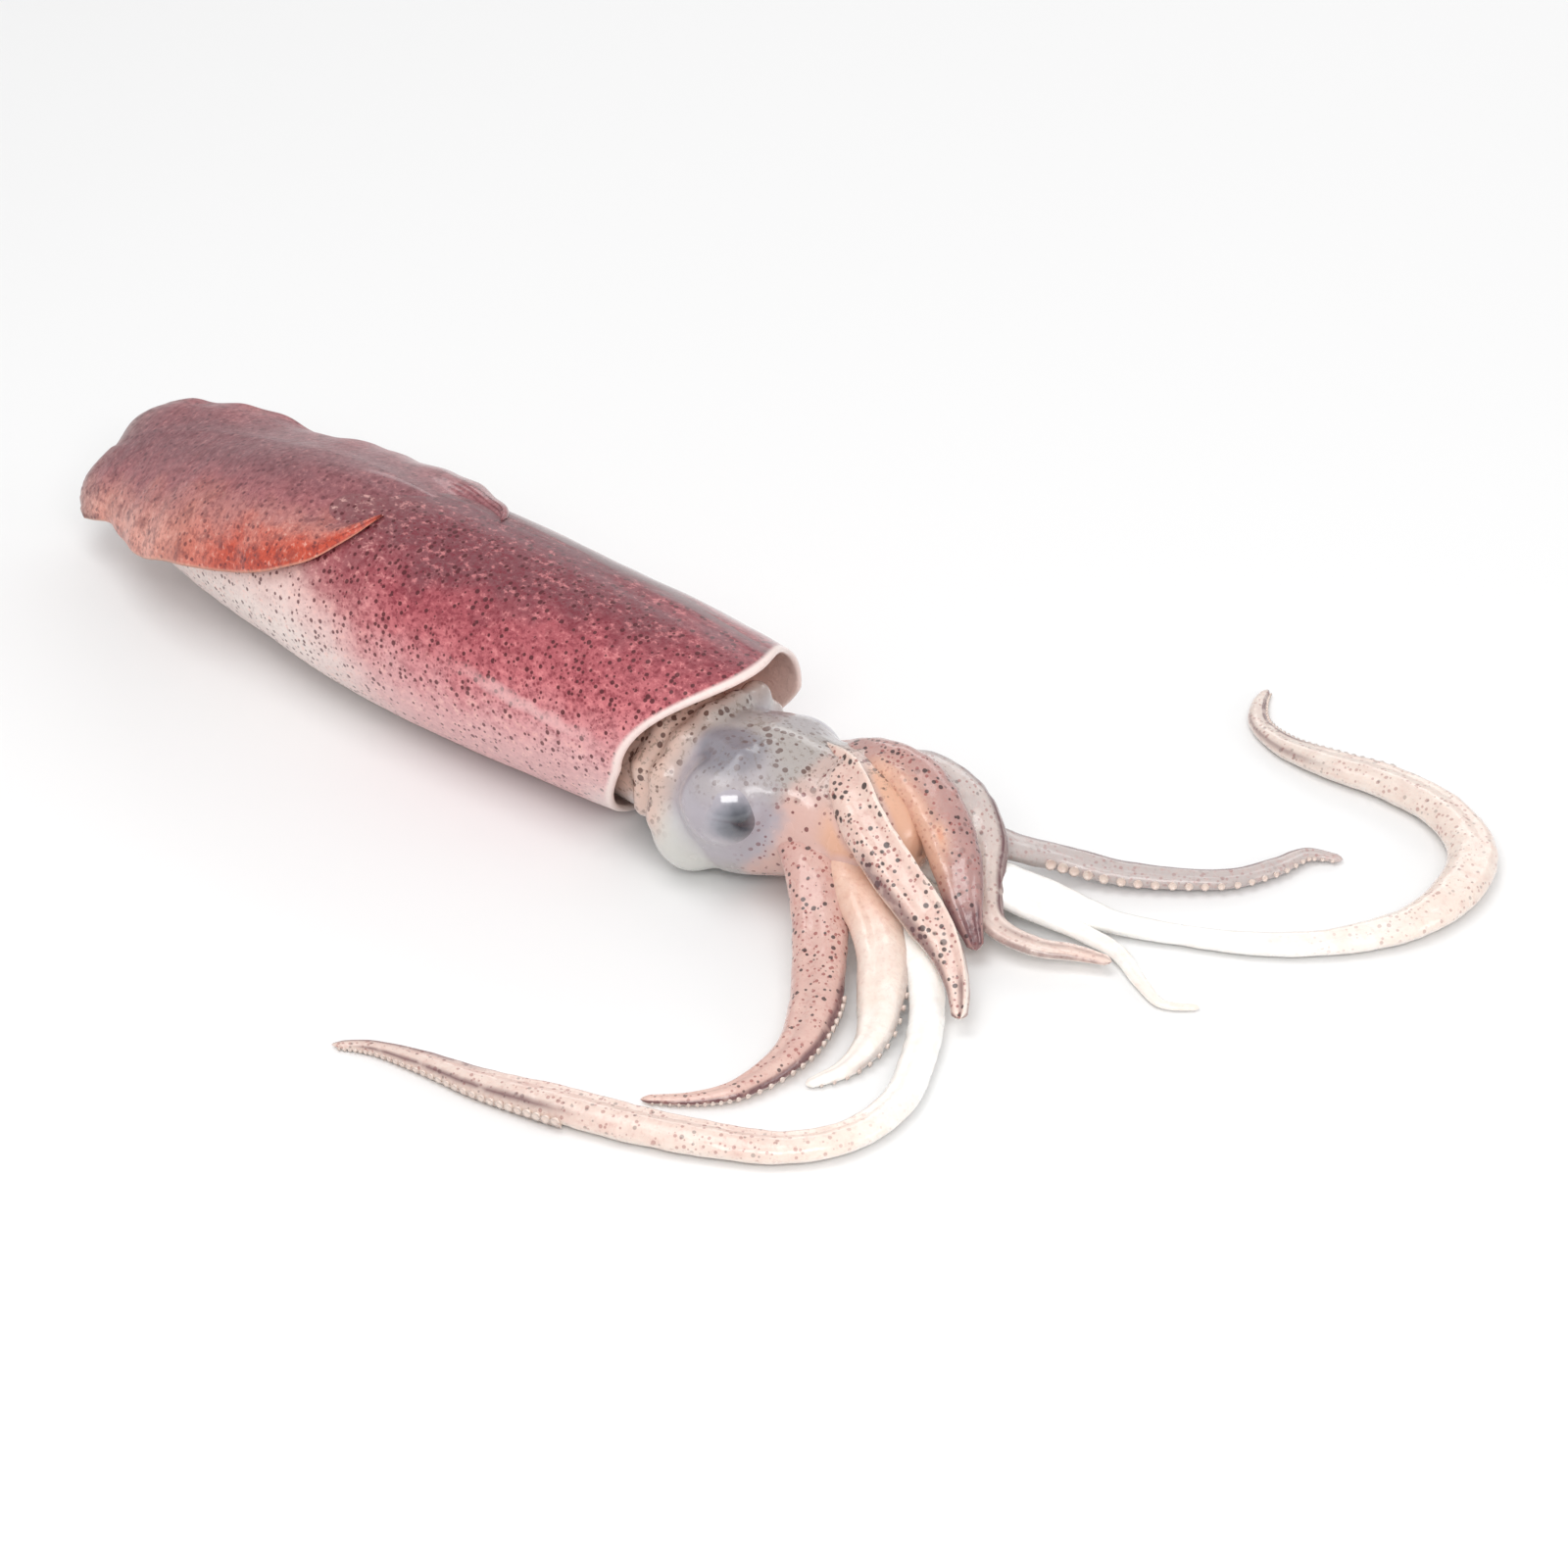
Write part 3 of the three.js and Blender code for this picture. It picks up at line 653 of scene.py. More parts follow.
class Route:
    """A smooth line through the stops of a limb, with its width."""

    def __init__(self, stops):
        self.points = np.array([stop[:3] for stop in stops], float)
        self.widths = np.array([stop[3] for stop in stops], float)
        self.spans = len(stops) - 1

    def _span(self, index):
        points = self.points
        p1, p2 = points[index], points[index + 1]
        p0 = points[index - 1] if index > 0 else 2 * p1 - p2
        p3 = points[index + 2] if index + 2 < len(points) else 2 * p2 - p1
        d0, d1, d2 = (math.sqrt(np.linalg.norm(b - a)) for a, b in ((p0, p1), (p1, p2), (p2, p3)))
        t1 = ((p1 - p0) / d0 - (p2 - p0) / (d0 + d1) + (p2 - p1) / d1) * d1
        t2 = ((p2 - p1) / d1 - (p3 - p1) / (d1 + d2) + (p3 - p2) / d2) * d1
        return p1, t1, -3 * p1 + 3 * p2 - 2 * t1 - t2, 2 * p1 - 2 * p2 + t1 + t2

    def at(self, along):
        index = np.clip((along * self.spans).astype(int), 0, self.spans - 1)
        share = (along * self.spans - index)[:, None]
        parts = [self._span(i) for i in range(self.spans)]
        c0, c1, c2, c3 = (np.array([part[k] for part in parts])[index] for k in range(4))
        points = c0 + share * (c1 + share * (c2 + share * c3))
        tangent = c1 + share * (2 * c2 + 3 * share * c3)
        tangent /= np.linalg.norm(tangent, axis=1)[:, None]
        width = np.interp(along * self.spans, np.arange(self.spans + 1), self.widths)
        sideways = np.cross(np.array([0.0, 0.0, 1.0]), tangent)
        sideways /= np.linalg.norm(sideways, axis=1)[:, None]
        return points, sideways, np.cross(tangent, sideways), width


def limb_section(spec, along, angle, width):
    """Where the skin of a limb is, across and up from its route, at an angle round it."""
    side, height = np.cos(angle), np.sin(angle)
    across = np.sign(side) * np.abs(side) ** SECTION_SIDE_POWER * width / 2
    up = np.sign(height) * np.abs(height) ** SECTION_TOP_POWER * width / 2 * spec["share"]
    ridge = spec["keel"] * width / 2 * bell(side, *KEEL) * (height > 0) * spec["share"]
    fold = -GROOVE_DEPTH * width / 2 * bell(side, *GROOVE) * (height > 0) * smooth(0.1, 0.3, along)
    return across, up + ridge + fold


def limb_piece(name, spec, columns, rows):
    route = Route(spec["route"])

    def place(across, up):
        angle = across * 2.0 * math.pi
        along = up
        points, sideways, upward, width = route.at(along)
        tip = np.sqrt(np.clip((1.0 - along) / LIMB_END, 0.0, 1.0))
        root = np.sqrt(np.clip(along / LIMB_END, 0.0, 1.0))
        width = width * np.clip(tip, LIMB_END_WIDTH, 1.0) * np.clip(root, LIMB_END_WIDTH, 1.0)
        out, lift = limb_section(spec, along, angle, width)
        points = points + sideways * out[:, None] + upward * lift[:, None]
        rough = LIMB_UNEVEN * width / LIMB_USUAL_WIDTH
        points += sideways * (wobble(points, LIMB_UNEVEN_SIZE, 1.0) * rough)[:, None]
        points += upward * (wobble(points, LIMB_UNEVEN_SIZE, 7.0) * rough)[:, None]
        change = smooth(*spec.get("change", (0.0, 1.0)), along)
        tone = lerp(*spec["tone"], change)
        dots = lerp(*spec["dots"], change)
        side = np.cos(angle)
        line = 0.0 * side
        for where, first, last, strength in spec["lines"]:
            edge = smooth(0.66, 0.9, side * where) if abs(where) == 1 else bell(side, where, LINE_SPREAD)
            reach = smooth(first - 0.04, first + 0.04, along) * smooth(last + 0.06, last, along)
            line = np.maximum(line, edge * reach * strength)
        line = line * smooth(-0.55, -0.1, np.sin(angle))
        warm = np.zeros(len(along))
        for where, spread, first, last, strength in spec.get("warm", ()):
            reach = smooth(first - 0.05, first + 0.05, along) * smooth(last + 0.1, last - 0.12, along)
            warm = np.maximum(warm, bell(side, where, spread) * reach * strength)
        pale = np.minimum(spec["keel"] * PALE_STRIP_STRENGTH * bell(side, *PALE_STRIP), 1.0)
        pale = pale * smooth(-0.4, 0.0, np.sin(angle))
        dots = dots * (1.0 - pale) * (1.0 - 0.6 * np.minimum(warm, 1.0))
        tone = tone * (1.0 - 0.7 * pale)
        # How grey the limb is here: painted shade on the pale flesh.
        cool = lerp(*spec.get("cool", (0.0, 0.0)), along)
        return rest(points), (tone, dots, line, warm, np.sin(angle), cool)

    return skin(name, columns, rows, place, ("tone", "dots", "line", "warm", "up", "cool"))


def suckers_piece(name, rows):
    """Small cups in rows along a limb's edge, each a short cone with a sunk mouth."""
    made = bmesh.new()
    layers = [made.verts.layers.float.new(mark) for mark in ("tone", "dots", "line")]
    for limb, first, last, side, below, start, end, count in rows:
        spec = {**ARMS, **TENTACLES}[limb]
        route = Route(spec["route"])
        along = np.linspace(first, last, count)
        points, sideways, upward, width = route.at(along)
        angle = np.full(count, -below) if side > 0 else np.full(count, math.pi + below)
        out, lift = limb_section(spec, along, angle, width)
        spots = points + sideways * out[:, None] + upward * lift[:, None]
        faces = sideways * np.cos(angle)[:, None] + upward * np.sin(angle)[:, None]
        for k in range(count):
            size = lerp(start, end, k / (count - 1))
            spot = spots[k] + faces[k] * size * SUCKER_PROUD
            spot[2] = max(spot[2], size * 0.95 + 0.1)
            turn = Vector(faces[k]).to_track_quat("Z", "Y").to_matrix().to_4x4()
            place = Matrix.Translation(Vector(spot) * MM) @ turn
            cone = bmesh.ops.create_cone(
                made, cap_ends=True, segments=SUCKER_SIDES, radius1=size * SUCKER_FOOT * MM,
                radius2=size * MM, depth=size * SUCKER_HEIGHT * MM, matrix=place,
            )
            mouth = max({f for v in cone["verts"] for f in v.link_faces}, key=lambda f: facing(f, place))
            bmesh.ops.inset_region(made, faces=[mouth], thickness=size * SUCKER_RIM * MM, depth=0.0)
            sunk = Vector(faces[k]) * (-size * SUCKER_MOUTH * MM)
            bmesh.ops.translate(made, verts=mouth.verts, vec=sunk)
    for vert in made.verts:
        vert[layers[0]] = SUCKER_TONE
    bmesh.ops.recalc_face_normals(made, faces=made.faces)
    return finish_piece(name, made)


def facing(face, place):
    """How much a whole end face looks along the cone's own axis."""
    axis = place.to_3x3() @ Vector((0.0, 0.0, 1.0))
    return face.normal.dot(axis) + (1.0 if len(face.verts) > 4 else 0.0)


# ---------------------------------------------------------------- materials


class Wire:
    """A value on its way through a material; a sum written on it adds a Math node."""

    def __init__(self, paint, socket):
        self.paint = paint
        self.socket = socket

    def _math(self, operation, first, second=None):
        inputs = {0: first} if second is None else {0: first, 1: second}
        return self.paint.add("ShaderNodeMath", {"operation": operation}, inputs)

    def __add__(self, other):
        return self._math("ADD", self, other)

    __radd__ = __add__

    def __sub__(self, other):
        return self._math("SUBTRACT", self, other)

    def __rsub__(self, other):
        return self._math("SUBTRACT", other, self)

    def __mul__(self, other):
        return self._math("MULTIPLY", self, other)

    __rmul__ = __mul__

    def most(self, other):
        return self._math("MAXIMUM", self, other)

    def least(self, other):
        return self._math("MINIMUM", self, other)

    def step(self, low, high):
        """0 below low, 1 above high, and a soft rise between them."""
        return self.paint.add(
            "ShaderNodeMapRange",
            {"interpolation_type": "SMOOTHSTEP", "clamp": True},
            {"Value": self, "From Min": low, "From Max": high},
        )


class Paint:
    """One material and the nodes that are added to it."""

    def __init__(self, name):
        self.material = bpy.data.materials.new(name)
        self.material.use_nodes = True
        self.tree = self.material.node_tree
        self.shader = self.tree.nodes["Principled BSDF"]
        self.place = self.add("ShaderNodeTexCoord", output="Object")

    def add(self, kind, settings=None, inputs=None, output=0):
        node = self.tree.nodes.new(kind)
        for key, value in (settings or {}).items():
            if key == "stops":
                self.set_stops(node.color_ramp, value)
            else:
                setattr(node, key, value)
        for key, value in (inputs or {}).items():
            self.feed(node.inputs[key], value)
        return Wire(self, node.outputs[output])

    def set_stops(self, ramp, stops):
        while len(ramp.elements) < len(stops):
            ramp.elements.new(0.5)
        for element, (position, colour) in zip(ramp.elements, stops):
            element.position = position
            element.color = (*colour, 1.0)

    def feed(self, socket, value):
        if isinstance(value, Wire):
            self.tree.links.new(value.socket, socket)
        elif isinstance(value, tuple) and len(value) == 3 and socket.type == "RGBA":
            socket.default_value = (*value, 1.0)
        else:
            socket.default_value = value

    def mark(self, name):
        return self.add("ShaderNodeAttribute", {"attribute_name": name}, output="Fac")

    def axis(self, index):
        return self.add("ShaderNodeSeparateXYZ", inputs={0: self.place}, output=index)

    def ramp(self, value, stops):
        return self.add("ShaderNodeValToRGB", {"stops": stops}, {0: value})

    def mix(self, first, second, share):
        settings = {"data_type": "RGBA", "blend_type": "MIX", "clamp_factor": True}
        return self.add("ShaderNodeMix", settings, {0: share, 6: first, 7: second}, output=2)

    def stretched(self, scale):
        return self.add("ShaderNodeMapping", inputs={0: self.place, "Scale": scale})

    def noise(self, size, detail=2.0, rough=0.5, where=None):
        """Clouds of that size in metres, from 0 to 1."""
        inputs = {
            "Vector": where or self.place, "Scale": 1.0 / size, "Detail": detail, "Roughness": rough,
        }
        return self.add("ShaderNodeTexNoise", inputs=inputs, output="Fac")

    def dots(self, size, small, large, fewer=0.0):
        """Round spots, at most one in each cell of that size in metres, of changing width."""
        inputs = {"Vector": self.place, "Scale": 1.0 / size, "Randomness": 1.0}
        cell = self.add("ShaderNodeTexVoronoi", {"feature": "F1"}, inputs, output="Distance")
        tint = Wire(self, cell.socket.node.outputs["Color"])
        random = self.add("ShaderNodeSeparateColor", inputs={0: tint}, output=0)
        reach = random * (large - small) + small - fewer
        return ((reach - cell) * (1.0 / DOT_EDGE)).least(1.0).most(0.0)

    def bump(self, height, distance, strength):
        inputs = {"Height": height, "Distance": distance, "Strength": strength}
        return self.add("ShaderNodeBump", inputs=inputs)

    def finish(self, **values):
        for name, value in values.items():
            self.feed(self.shader.inputs[name.replace("_", " ")], value)
        return self.material


DOT_EDGE = 0.08
BLACK_DOT = srgb(40, 24, 28)
WET = {"Coat_Weight": 0.7, "Coat_Roughness": 0.07, "Coat_IOR": 1.36}


def paint_mantle(look):
    paint = Paint("mantle_skin")
    back, side = paint.mark("back"), paint.mark("side")
    x = paint.axis(0)
    cloud = paint.noise(0.018, 3.0)
    patch = paint.noise(0.006, 3.0)
    level = back + (cloud - 0.5) * 0.5 + (patch - 0.5) * 0.3 - x.step(0.03, 0.085) * 0.24
    front = paint.ramp(
        level * 0.5 + 0.5,
        (
            (0.06, srgb(210, 172, 172)), (0.24, srgb(220, 176, 176)), (0.42, look.flank),
            (0.56, srgb(214, 146, 149)), (0.70, srgb(196, 110, 116)), (0.84, look.rose),
            (0.95, srgb(124, 70, 77)),
        ),
    )
    rear = paint.ramp(
        level * 0.5 + 0.5,
        (
            (0.1, srgb(226, 210, 205)), (0.4, srgb(242, 227, 221)), (0.66, srgb(230, 196, 190)),
            (0.84, srgb(170, 112, 114)), (0.95, srgb(140, 94, 96)),
        ),
    )
    forward = (x + back * 0.012 + (cloud - 0.5) * 0.03).step(-0.024, 0.022)
    colour = paint.mix(rear, front, forward)
    centre = (back + (patch - 0.5) * 0.3).step(-0.3, 0.55) * forward
    # Fine mottling, a little drawn out along the body.
    grain = paint.noise(0.0014, 4.0, 0.7, paint.stretched((0.75, 1.0, 1.0)))
    colour = paint.mix(colour, srgb(122, 36, 52), grain.step(0.49, 0.62) * (centre * 0.5 + 0.1))
    fleck = paint.mix(srgb(246, 204, 194), srgb(224, 140, 142), centre)
    colour = paint.mix(colour, fleck, (1.0 - grain).step(0.53, 0.66) * 0.6)
    blotch = paint.noise(0.0024, 2.0, 0.6)
    colour = paint.mix(colour, srgb(112, 34, 46), blotch.step(0.5, 0.72) * centre * 0.4)
    # Colour cells: many small red ones, and dark ones that crowd on the back.
    small = paint.dots(0.0010, 0.1, 0.44)
    colour = paint.mix(colour, srgb(120, 34, 48), small * (centre * 0.45 + 0.2))
    large = paint.dots(0.0014, 0.1, 0.46, (1.0 - centre) * 0.04)
    colour = paint.mix(colour, tuple(look.spots), large * (centre * 0.1 + 0.8))
    # One soft pale streak along the flank: a painted highlight.
    flank_highlight = (back - 0.31 + (x - 0.036) * 3.4 + (patch - 0.5) * 0.16) * (1.0 / 0.08)
    flank_highlight = (1.0 - flank_highlight * flank_highlight).most(0.0) * x.step(0.022, 0.044) * (1.0 - x.step(0.05, 0.074))
    colour = paint.mix(colour, srgb(240, 206, 204), flank_highlight * (1.0 - side.step(-0.2, 0.2)) * 0.42)
    # Painted reflection: a grey, streaky sheen of the wet skin along the left shoulder.
    sheen_band = side.step(0.22, 0.5) * (1.0 - side.step(0.7, 0.9))
    sheen = paint.noise(0.004, 3.0, 0.6, paint.stretched((0.12, 1.0, 1.0))).step(0.42, 0.62)
    colour = paint.mix(colour, srgb(158, 146, 145), sheen_band * (sheen * 0.6 + 0.25))
    # Darker painted reflection streaks where the back turns to the left side.
    sheen_streaks = (back * 0.6 + side * 0.5).step(0.5, 0.8) * sheen
    colour = paint.mix(colour, srgb(132, 112, 116), sheen_streaks * 0.5)
    # Inside the mouth, painted shade that darkens the wall the deeper it goes, and a clean pale band
    # round the rim.
    to_rim = paint.mark("to_rim")
    inside = paint.mark("inside")
    low_corner = (1.0 - back.step(-0.7, -0.1)) * (1.0 - to_rim.step(0.1, 0.9))
    colour = paint.mix(colour, srgb(244, 230, 226), low_corner * 0.75)
    colour = paint.mix(colour, srgb(244, 226, 220), (1.0 - to_rim.step(0.0, 0.14)) * 0.9)
    # Painted shade: the inside of the mouth darkens towards its closed end.
    deep = paint.ramp(
        paint.mark("deep"),
        (
            (0.0, srgb(255, 226, 216)), (0.4, srgb(255, 202, 188)), (0.75, srgb(196, 138, 118)),
            (1.0, srgb(116, 78, 62)),
        ),
    )
    colour = paint.mix(colour, deep, inside)
    height = grain * 0.8 + small * 0.15 + paint.noise(0.0032, 3.0)
    rough = 0.42 + (cloud - 0.5) * 0.14 - large * 0.06
    wet = side.step(0.4, 0.68) * 0.86 + 0.14
    return paint.finish(
        Base_Color=colour, Roughness=rough, Normal=paint.bump(height, 0.00035, 0.7),
        Coat_Weight=wet, Coat_Roughness=0.14, Coat_IOR=1.4, Specular_IOR_Level=0.32,
    )


def paint_fin(look):
    paint = Paint("fin_skin")
    along, reach = paint.mark("along"), paint.mark("reach")
    over = paint.mark("over")
    cloud = paint.noise(0.012, 3.0)
    patch = paint.noise(0.005, 3.0)
    near = over.step(0.15, -0.15)
    level = reach * (near * 0.7 + 0.3) + (cloud - 0.5) * 0.4 + (patch - 0.5) * 0.3 + (along - 0.5) * 0.1
    colour = paint.ramp(
        level,
        (
            (0.0, srgb(136, 86, 92)), (0.3, srgb(164, 100, 104)), (0.55, srgb(196, 130, 122)),
            (0.8, srgb(224, 158, 144)), (1.0, srgb(218, 146, 130)),
        ),
    )
    glow = along.step(0.4, 0.7) * (reach + (patch - 0.5) * 0.6).step(0.42, 0.88) * near
    colour = paint.mix(colour, tuple(look.fin_margin), glow * 0.95)
    front_root = along.step(0.8, 0.95) * (1.0 - reach.step(0.4, 0.8))
    colour = paint.mix(colour, srgb(142, 78, 86), front_root * 0.8)
    colour = paint.mix(colour, srgb(160, 138, 134), (1.0 - along.step(0.0, 0.1)) * 0.6)
    rear_corner = (1.0 - along.step(0.0, 0.07)) * reach.step(0.85, 0.96) * near
    colour = paint.mix(colour, srgb(110, 62, 50), rear_corner)
    grain = paint.noise(0.0011, 4.0, 0.7, paint.stretched((1.0, 0.8, 0.8)))
    colour = paint.mix(colour, srgb(96, 38, 48), grain.step(0.49, 0.64) * 0.5)
    fleck = paint.mix(srgb(206, 142, 140), srgb(242, 196, 180), level.step(0.2, 0.8))
    colour = paint.mix(colour, fleck, (1.0 - grain).step(0.54, 0.7) * 0.5)
    rust = cloud.step(0.48, 0.66) * near * reach.step(0.1, 0.5)
    colour = paint.mix(colour, srgb(172, 84, 66), rust * 0.34)
    blotch = paint.noise(0.003, 3.0, 0.65)
    colour = paint.mix(colour, srgb(104, 52, 58), blotch.step(0.48, 0.68) * 0.5)
    dark = paint.dots(0.0015, 0.0, 0.4)
    colour = paint.mix(colour, srgb(82, 36, 46), dark * 0.6)
    # A pale line along the near fin's margin: a painted highlight.
    colour = paint.mix(colour, srgb(240, 184, 160), reach.step(0.965, 1.0) * near * 0.6)
    folds = paint.noise(0.0035, 3.0, 0.5, paint.stretched((1.0, 0.5, 0.5)))
    height = grain * 0.7 + folds * 1.2
    wet = (1.0 - near) * along.step(0.55, 0.75) * 0.6 + 0.16
    return paint.finish(
        Base_Color=colour, Roughness=0.36 + (cloud - 0.5) * 0.1, Normal=paint.bump(height, 0.00035, 0.7),
        Coat_Weight=wet, Coat_Roughness=0.14, Coat_IOR=1.4, Specular_IOR_Level=0.35,
    )


def paint_head(look):
    paint = Paint("head_skin")
    grey, freckle, collar = paint.mark("grey"), paint.mark("freckle"), paint.mark("collar")
    pink, web, bag, lid = paint.mark("pink"), paint.mark("web"), paint.mark("bag"), paint.mark("lid")
    cloud = paint.noise(0.007, 3.0)
    patch = paint.noise(0.003, 3.0)
    colour = paint.mix(tuple(look.head), srgb(164, 154, 150), cloud)
    colour = paint.mix(colour, srgb(214, 176, 166), (pink + (patch - 0.5) * 0.5).step(0.2, 0.8))
    colour = paint.mix(colour, srgb(174, 167, 175), (grey + (patch - 0.5) * 0.7).step(0.1, 1.0))
    colour = paint.mix(colour, srgb(134, 130, 138), (lid + (cloud - 0.5) * 0.5).step(0.1, 0.8) * 0.95)
    colour = paint.mix(colour, srgb(174, 165, 159), freckle * (1.0 - lid) * 0.5)
    colour = paint.mix(colour, srgb(214, 214, 208), bag * 0.85)
    colour = paint.mix(colour, srgb(216, 184, 170), collar * (0.6 + patch * 0.6))
    colour = paint.mix(colour, srgb(220, 172, 146), web)
    brown = paint.dots(0.0016, 0.1, 0.5)
    spotted = (freckle * 0.85 + collar * 0.45).least(0.9) * (1.0 - grey * 0.5)
    mottle = paint.noise(0.0012, 3.0, 0.65).step(0.52, 0.66)
    colour = paint.mix(colour, srgb(120, 104, 92), mottle * spotted * 0.7)
    colour = paint.mix(colour, srgb(92, 62, 54), brown * spotted)
    dark = paint.dots(0.0014, 0.0, 0.44)
    colour = paint.mix(colour, srgb(112, 50, 52), dark * pink * (1.0 - web) * 0.85)
    height = paint.noise(0.0016, 3.0) * 0.7 + paint.noise(0.005, 2.0)
    return paint.finish(
        Base_Color=colour, Roughness=0.26 + (cloud - 0.5) * 0.1, Normal=paint.bump(height, 0.0003, 0.6),
        Subsurface_Weight=0.15, Subsurface_Radius=(1.0, 0.8, 0.7), Subsurface_Scale=0.002, **WET,
    )


def paint_eye(look):
    paint = Paint("eye_skin")
    pole, core = paint.mark("from_pupil"), paint.mark("from_core")
    cloud = paint.noise(0.005, 2.0)
    fine = paint.noise(0.0014, 3.0)
    ragged = (cloud - 0.5) * 0.55 + (fine - 0.5) * 0.3
    colour = paint.mix(srgb(140, 141, 151), srgb(174, 167, 175), (pole + ragged * 0.5).step(0.3, 0.75))
    colour = paint.mix(tuple(look.pupil), colour, (core + ragged * 0.5).step(0.0, 0.7))
    clouded = paint.bump(cloud + fine * 0.2, 0.0004, 0.35)
    return paint.finish(
        Base_Color=colour, Roughness=0.16 + (cloud - 0.5) * 0.06, Normal=clouded,
        Coat_Weight=1.0, Coat_Roughness=0.04, Coat_IOR=1.6,
    )


def paint_limb(look):
    paint = Paint("arm_skin")
    tone, dots, line = paint.mark("tone"), paint.mark("dots"), paint.mark("line")
    up, warm, cool = paint.mark("up"), paint.mark("warm"), paint.mark("cool")
    cloud = paint.noise(0.008, 3.0)
    patch = paint.noise(0.0028, 3.0)
    level = (tone + (cloud - 0.5) * 0.35 + (patch - 0.5) * 0.3) * (0.5 + up.step(-0.6, 0.3) * 0.5)
    colour = paint.ramp(
        level * 0.7,
        (
            (0.0, srgb(250, 248, 244)), (0.21, srgb(242, 226, 214)), (0.45, look.arms),
            (0.7, srgb(206, 164, 155)), (1.0, srgb(172, 134, 130)),
        ),
    )
    # A grey cast: painted shade on the pale arms and the tentacles' ends.
    colour = paint.mix(colour, srgb(190, 179, 176), cool * (0.6 + patch * 0.6))
    colour = paint.mix(colour, srgb(222, 176, 152), warm.least(1.0) * (0.6 + patch * 0.6))
    colour = paint.mix(colour, srgb(220, 112, 68), (warm - 1.0).most(0.0) * (0.6 + patch * 0.8))
    grain = paint.noise(0.001, 3.0, 0.6)
    colour = paint.mix(colour, srgb(186, 116, 108), grain.step(0.5, 0.7) * tone.least(1.0) * 0.4)
    shown = up.step(-0.4, 0.15)
    small = paint.dots(0.0011, 0.0, 0.46)
    colour = paint.mix(colour, srgb(146, 70, 66), small * dots.least(1.0) * shown * 0.75)
    large = paint.dots(0.0014, 0.0, 0.42, (1.0 - dots.least(1.0)) * 0.14)
    colour = paint.mix(colour, BLACK_DOT, large * dots.step(0.3, 1.0) * shown * 0.85)
    bold = paint.dots(0.0021, 0.05, 0.44)
    colour = paint.mix(colour, srgb(34, 20, 22), bold * (dots - 1.0).step(0.0, 0.4) * shown * 0.9)
    broken = paint.noise(0.003, 2.0).step(0.3, 0.5)
    colour = paint.mix(colour, srgb(98, 58, 64), line * (0.55 + broken * 0.45))
    height = paint.noise(0.0014, 3.0) * 0.7 + paint.noise(0.004, 2.0)
    return paint.finish(
        Base_Color=colour, Roughness=0.28 + (cloud - 0.5) * 0.1, Normal=paint.bump(height, 0.00035, 0.6),
        Subsurface_Weight=0.15, Subsurface_Radius=(1.0, 0.8, 0.7), Subsurface_Scale=0.002, **WET,
    )


def paint_floor():
    paint = Paint("floor_paint")
    grain = paint.noise(0.4, 2.0)
    colour = paint.mix((0.86, 0.86, 0.86), (0.88, 0.88, 0.88), grain)
    return paint.finish(Base_Color=colour, Roughness=0.85)


# ---------------------------------------------------------------- the add-on


class SquidShape(bpy.types.PropertyGroup):
    """The sizes of the squid that a user would change."""

    mantle_radius: bpy.props.FloatProperty(
        name="Mantle radius", description="Radius of the mantle at its widest",
        default=0.0247, min=0.01, max=0.06, subtype="DISTANCE", unit="LENGTH",
    )
    rim_wall: bpy.props.FloatProperty(
        name="Rim thickness", description="Thickness of the mantle's wall at its rim",
        default=0.0015, min=0.0005, max=0.005, subtype="DISTANCE", unit="LENGTH",
    )
    fin_width: bpy.props.FloatProperty(
        name="Fin width", description="How far a fin reaches out from the mantle",
        default=0.026, min=0.005, max=0.06, subtype="DISTANCE", unit="LENGTH",
    )
    eye_radius: bpy.props.FloatProperty(
        name="Eye radius", description="Radius of each eye's globe",
        default=0.0092, min=0.004, max=0.02, subtype="DISTANCE", unit="LENGTH",
    )


def colour_setting(name, description, red, green, blue):
    """A colour that a user can pick; its default is given as 0 to 255 on screen."""
    return bpy.props.FloatVectorProperty(
        name=name, description=description, default=srgb(red, green, blue), size=3,
        min=0.0, max=1.0, subtype="COLOR",
    )


class SquidLook(bpy.types.PropertyGroup):
    """The main colours of the skin, and the light of the studio."""

    rose: colour_setting("Rose", "Skin of the mantle's upper side", 170, 84, 92)
    flank: colour_setting("Flank", "Pink skin low on the mantle's side", 224, 172, 173)
    spots: colour_setting("Spots", "Dark spots all over the mantle", 80, 24, 32)
    fin_margin: colour_setting("Fin margin", "Orange margin at the front of each fin", 196, 74, 52)
    head: colour_setting("Head", "Grey skin of the head", 176, 171, 171)
    arms: colour_setting("Arms", "Pink skin on the outside of the arms", 226, 195, 183)
    pupil: colour_setting("Pupil", "Dark middle of the eyes", 44, 48, 58)
    room_light: bpy.props.FloatProperty(
        name="Room light", description="Strength of the even light from all round",
        default=0.6, min=0.0, max=5.0,
    )


class SQUID_OT_mantle(bpy.types.Operator):
    """Make the mantle with its open rim"""

    bl_idname = "squid.mantle"
    bl_label = "Mantle"

    def execute(self, context):
        settle(mantle_piece(context.scene.squid_shape), paint_mantle(context.scene.squid_look))
        return {"FINISHED"}


class SQUID_OT_fins(bpy.types.Operator):
    """Make the two fins, which are one sheet over the back"""

    bl_idname = "squid.fins"
    bl_label = "Fins"

    def execute(self, context):
        settle(fins_piece(context.scene.squid_shape), paint_fin(context.scene.squid_look))
        return {"FINISHED"}


class SQUID_OT_head(bpy.types.Operator):
    """Make the head with its neck and folds"""

    bl_idname = "squid.head"
    bl_label = "Head"

    def execute(self, context):
        settle(head_piece(), paint_head(context.scene.squid_look))
        return {"FINISHED"}


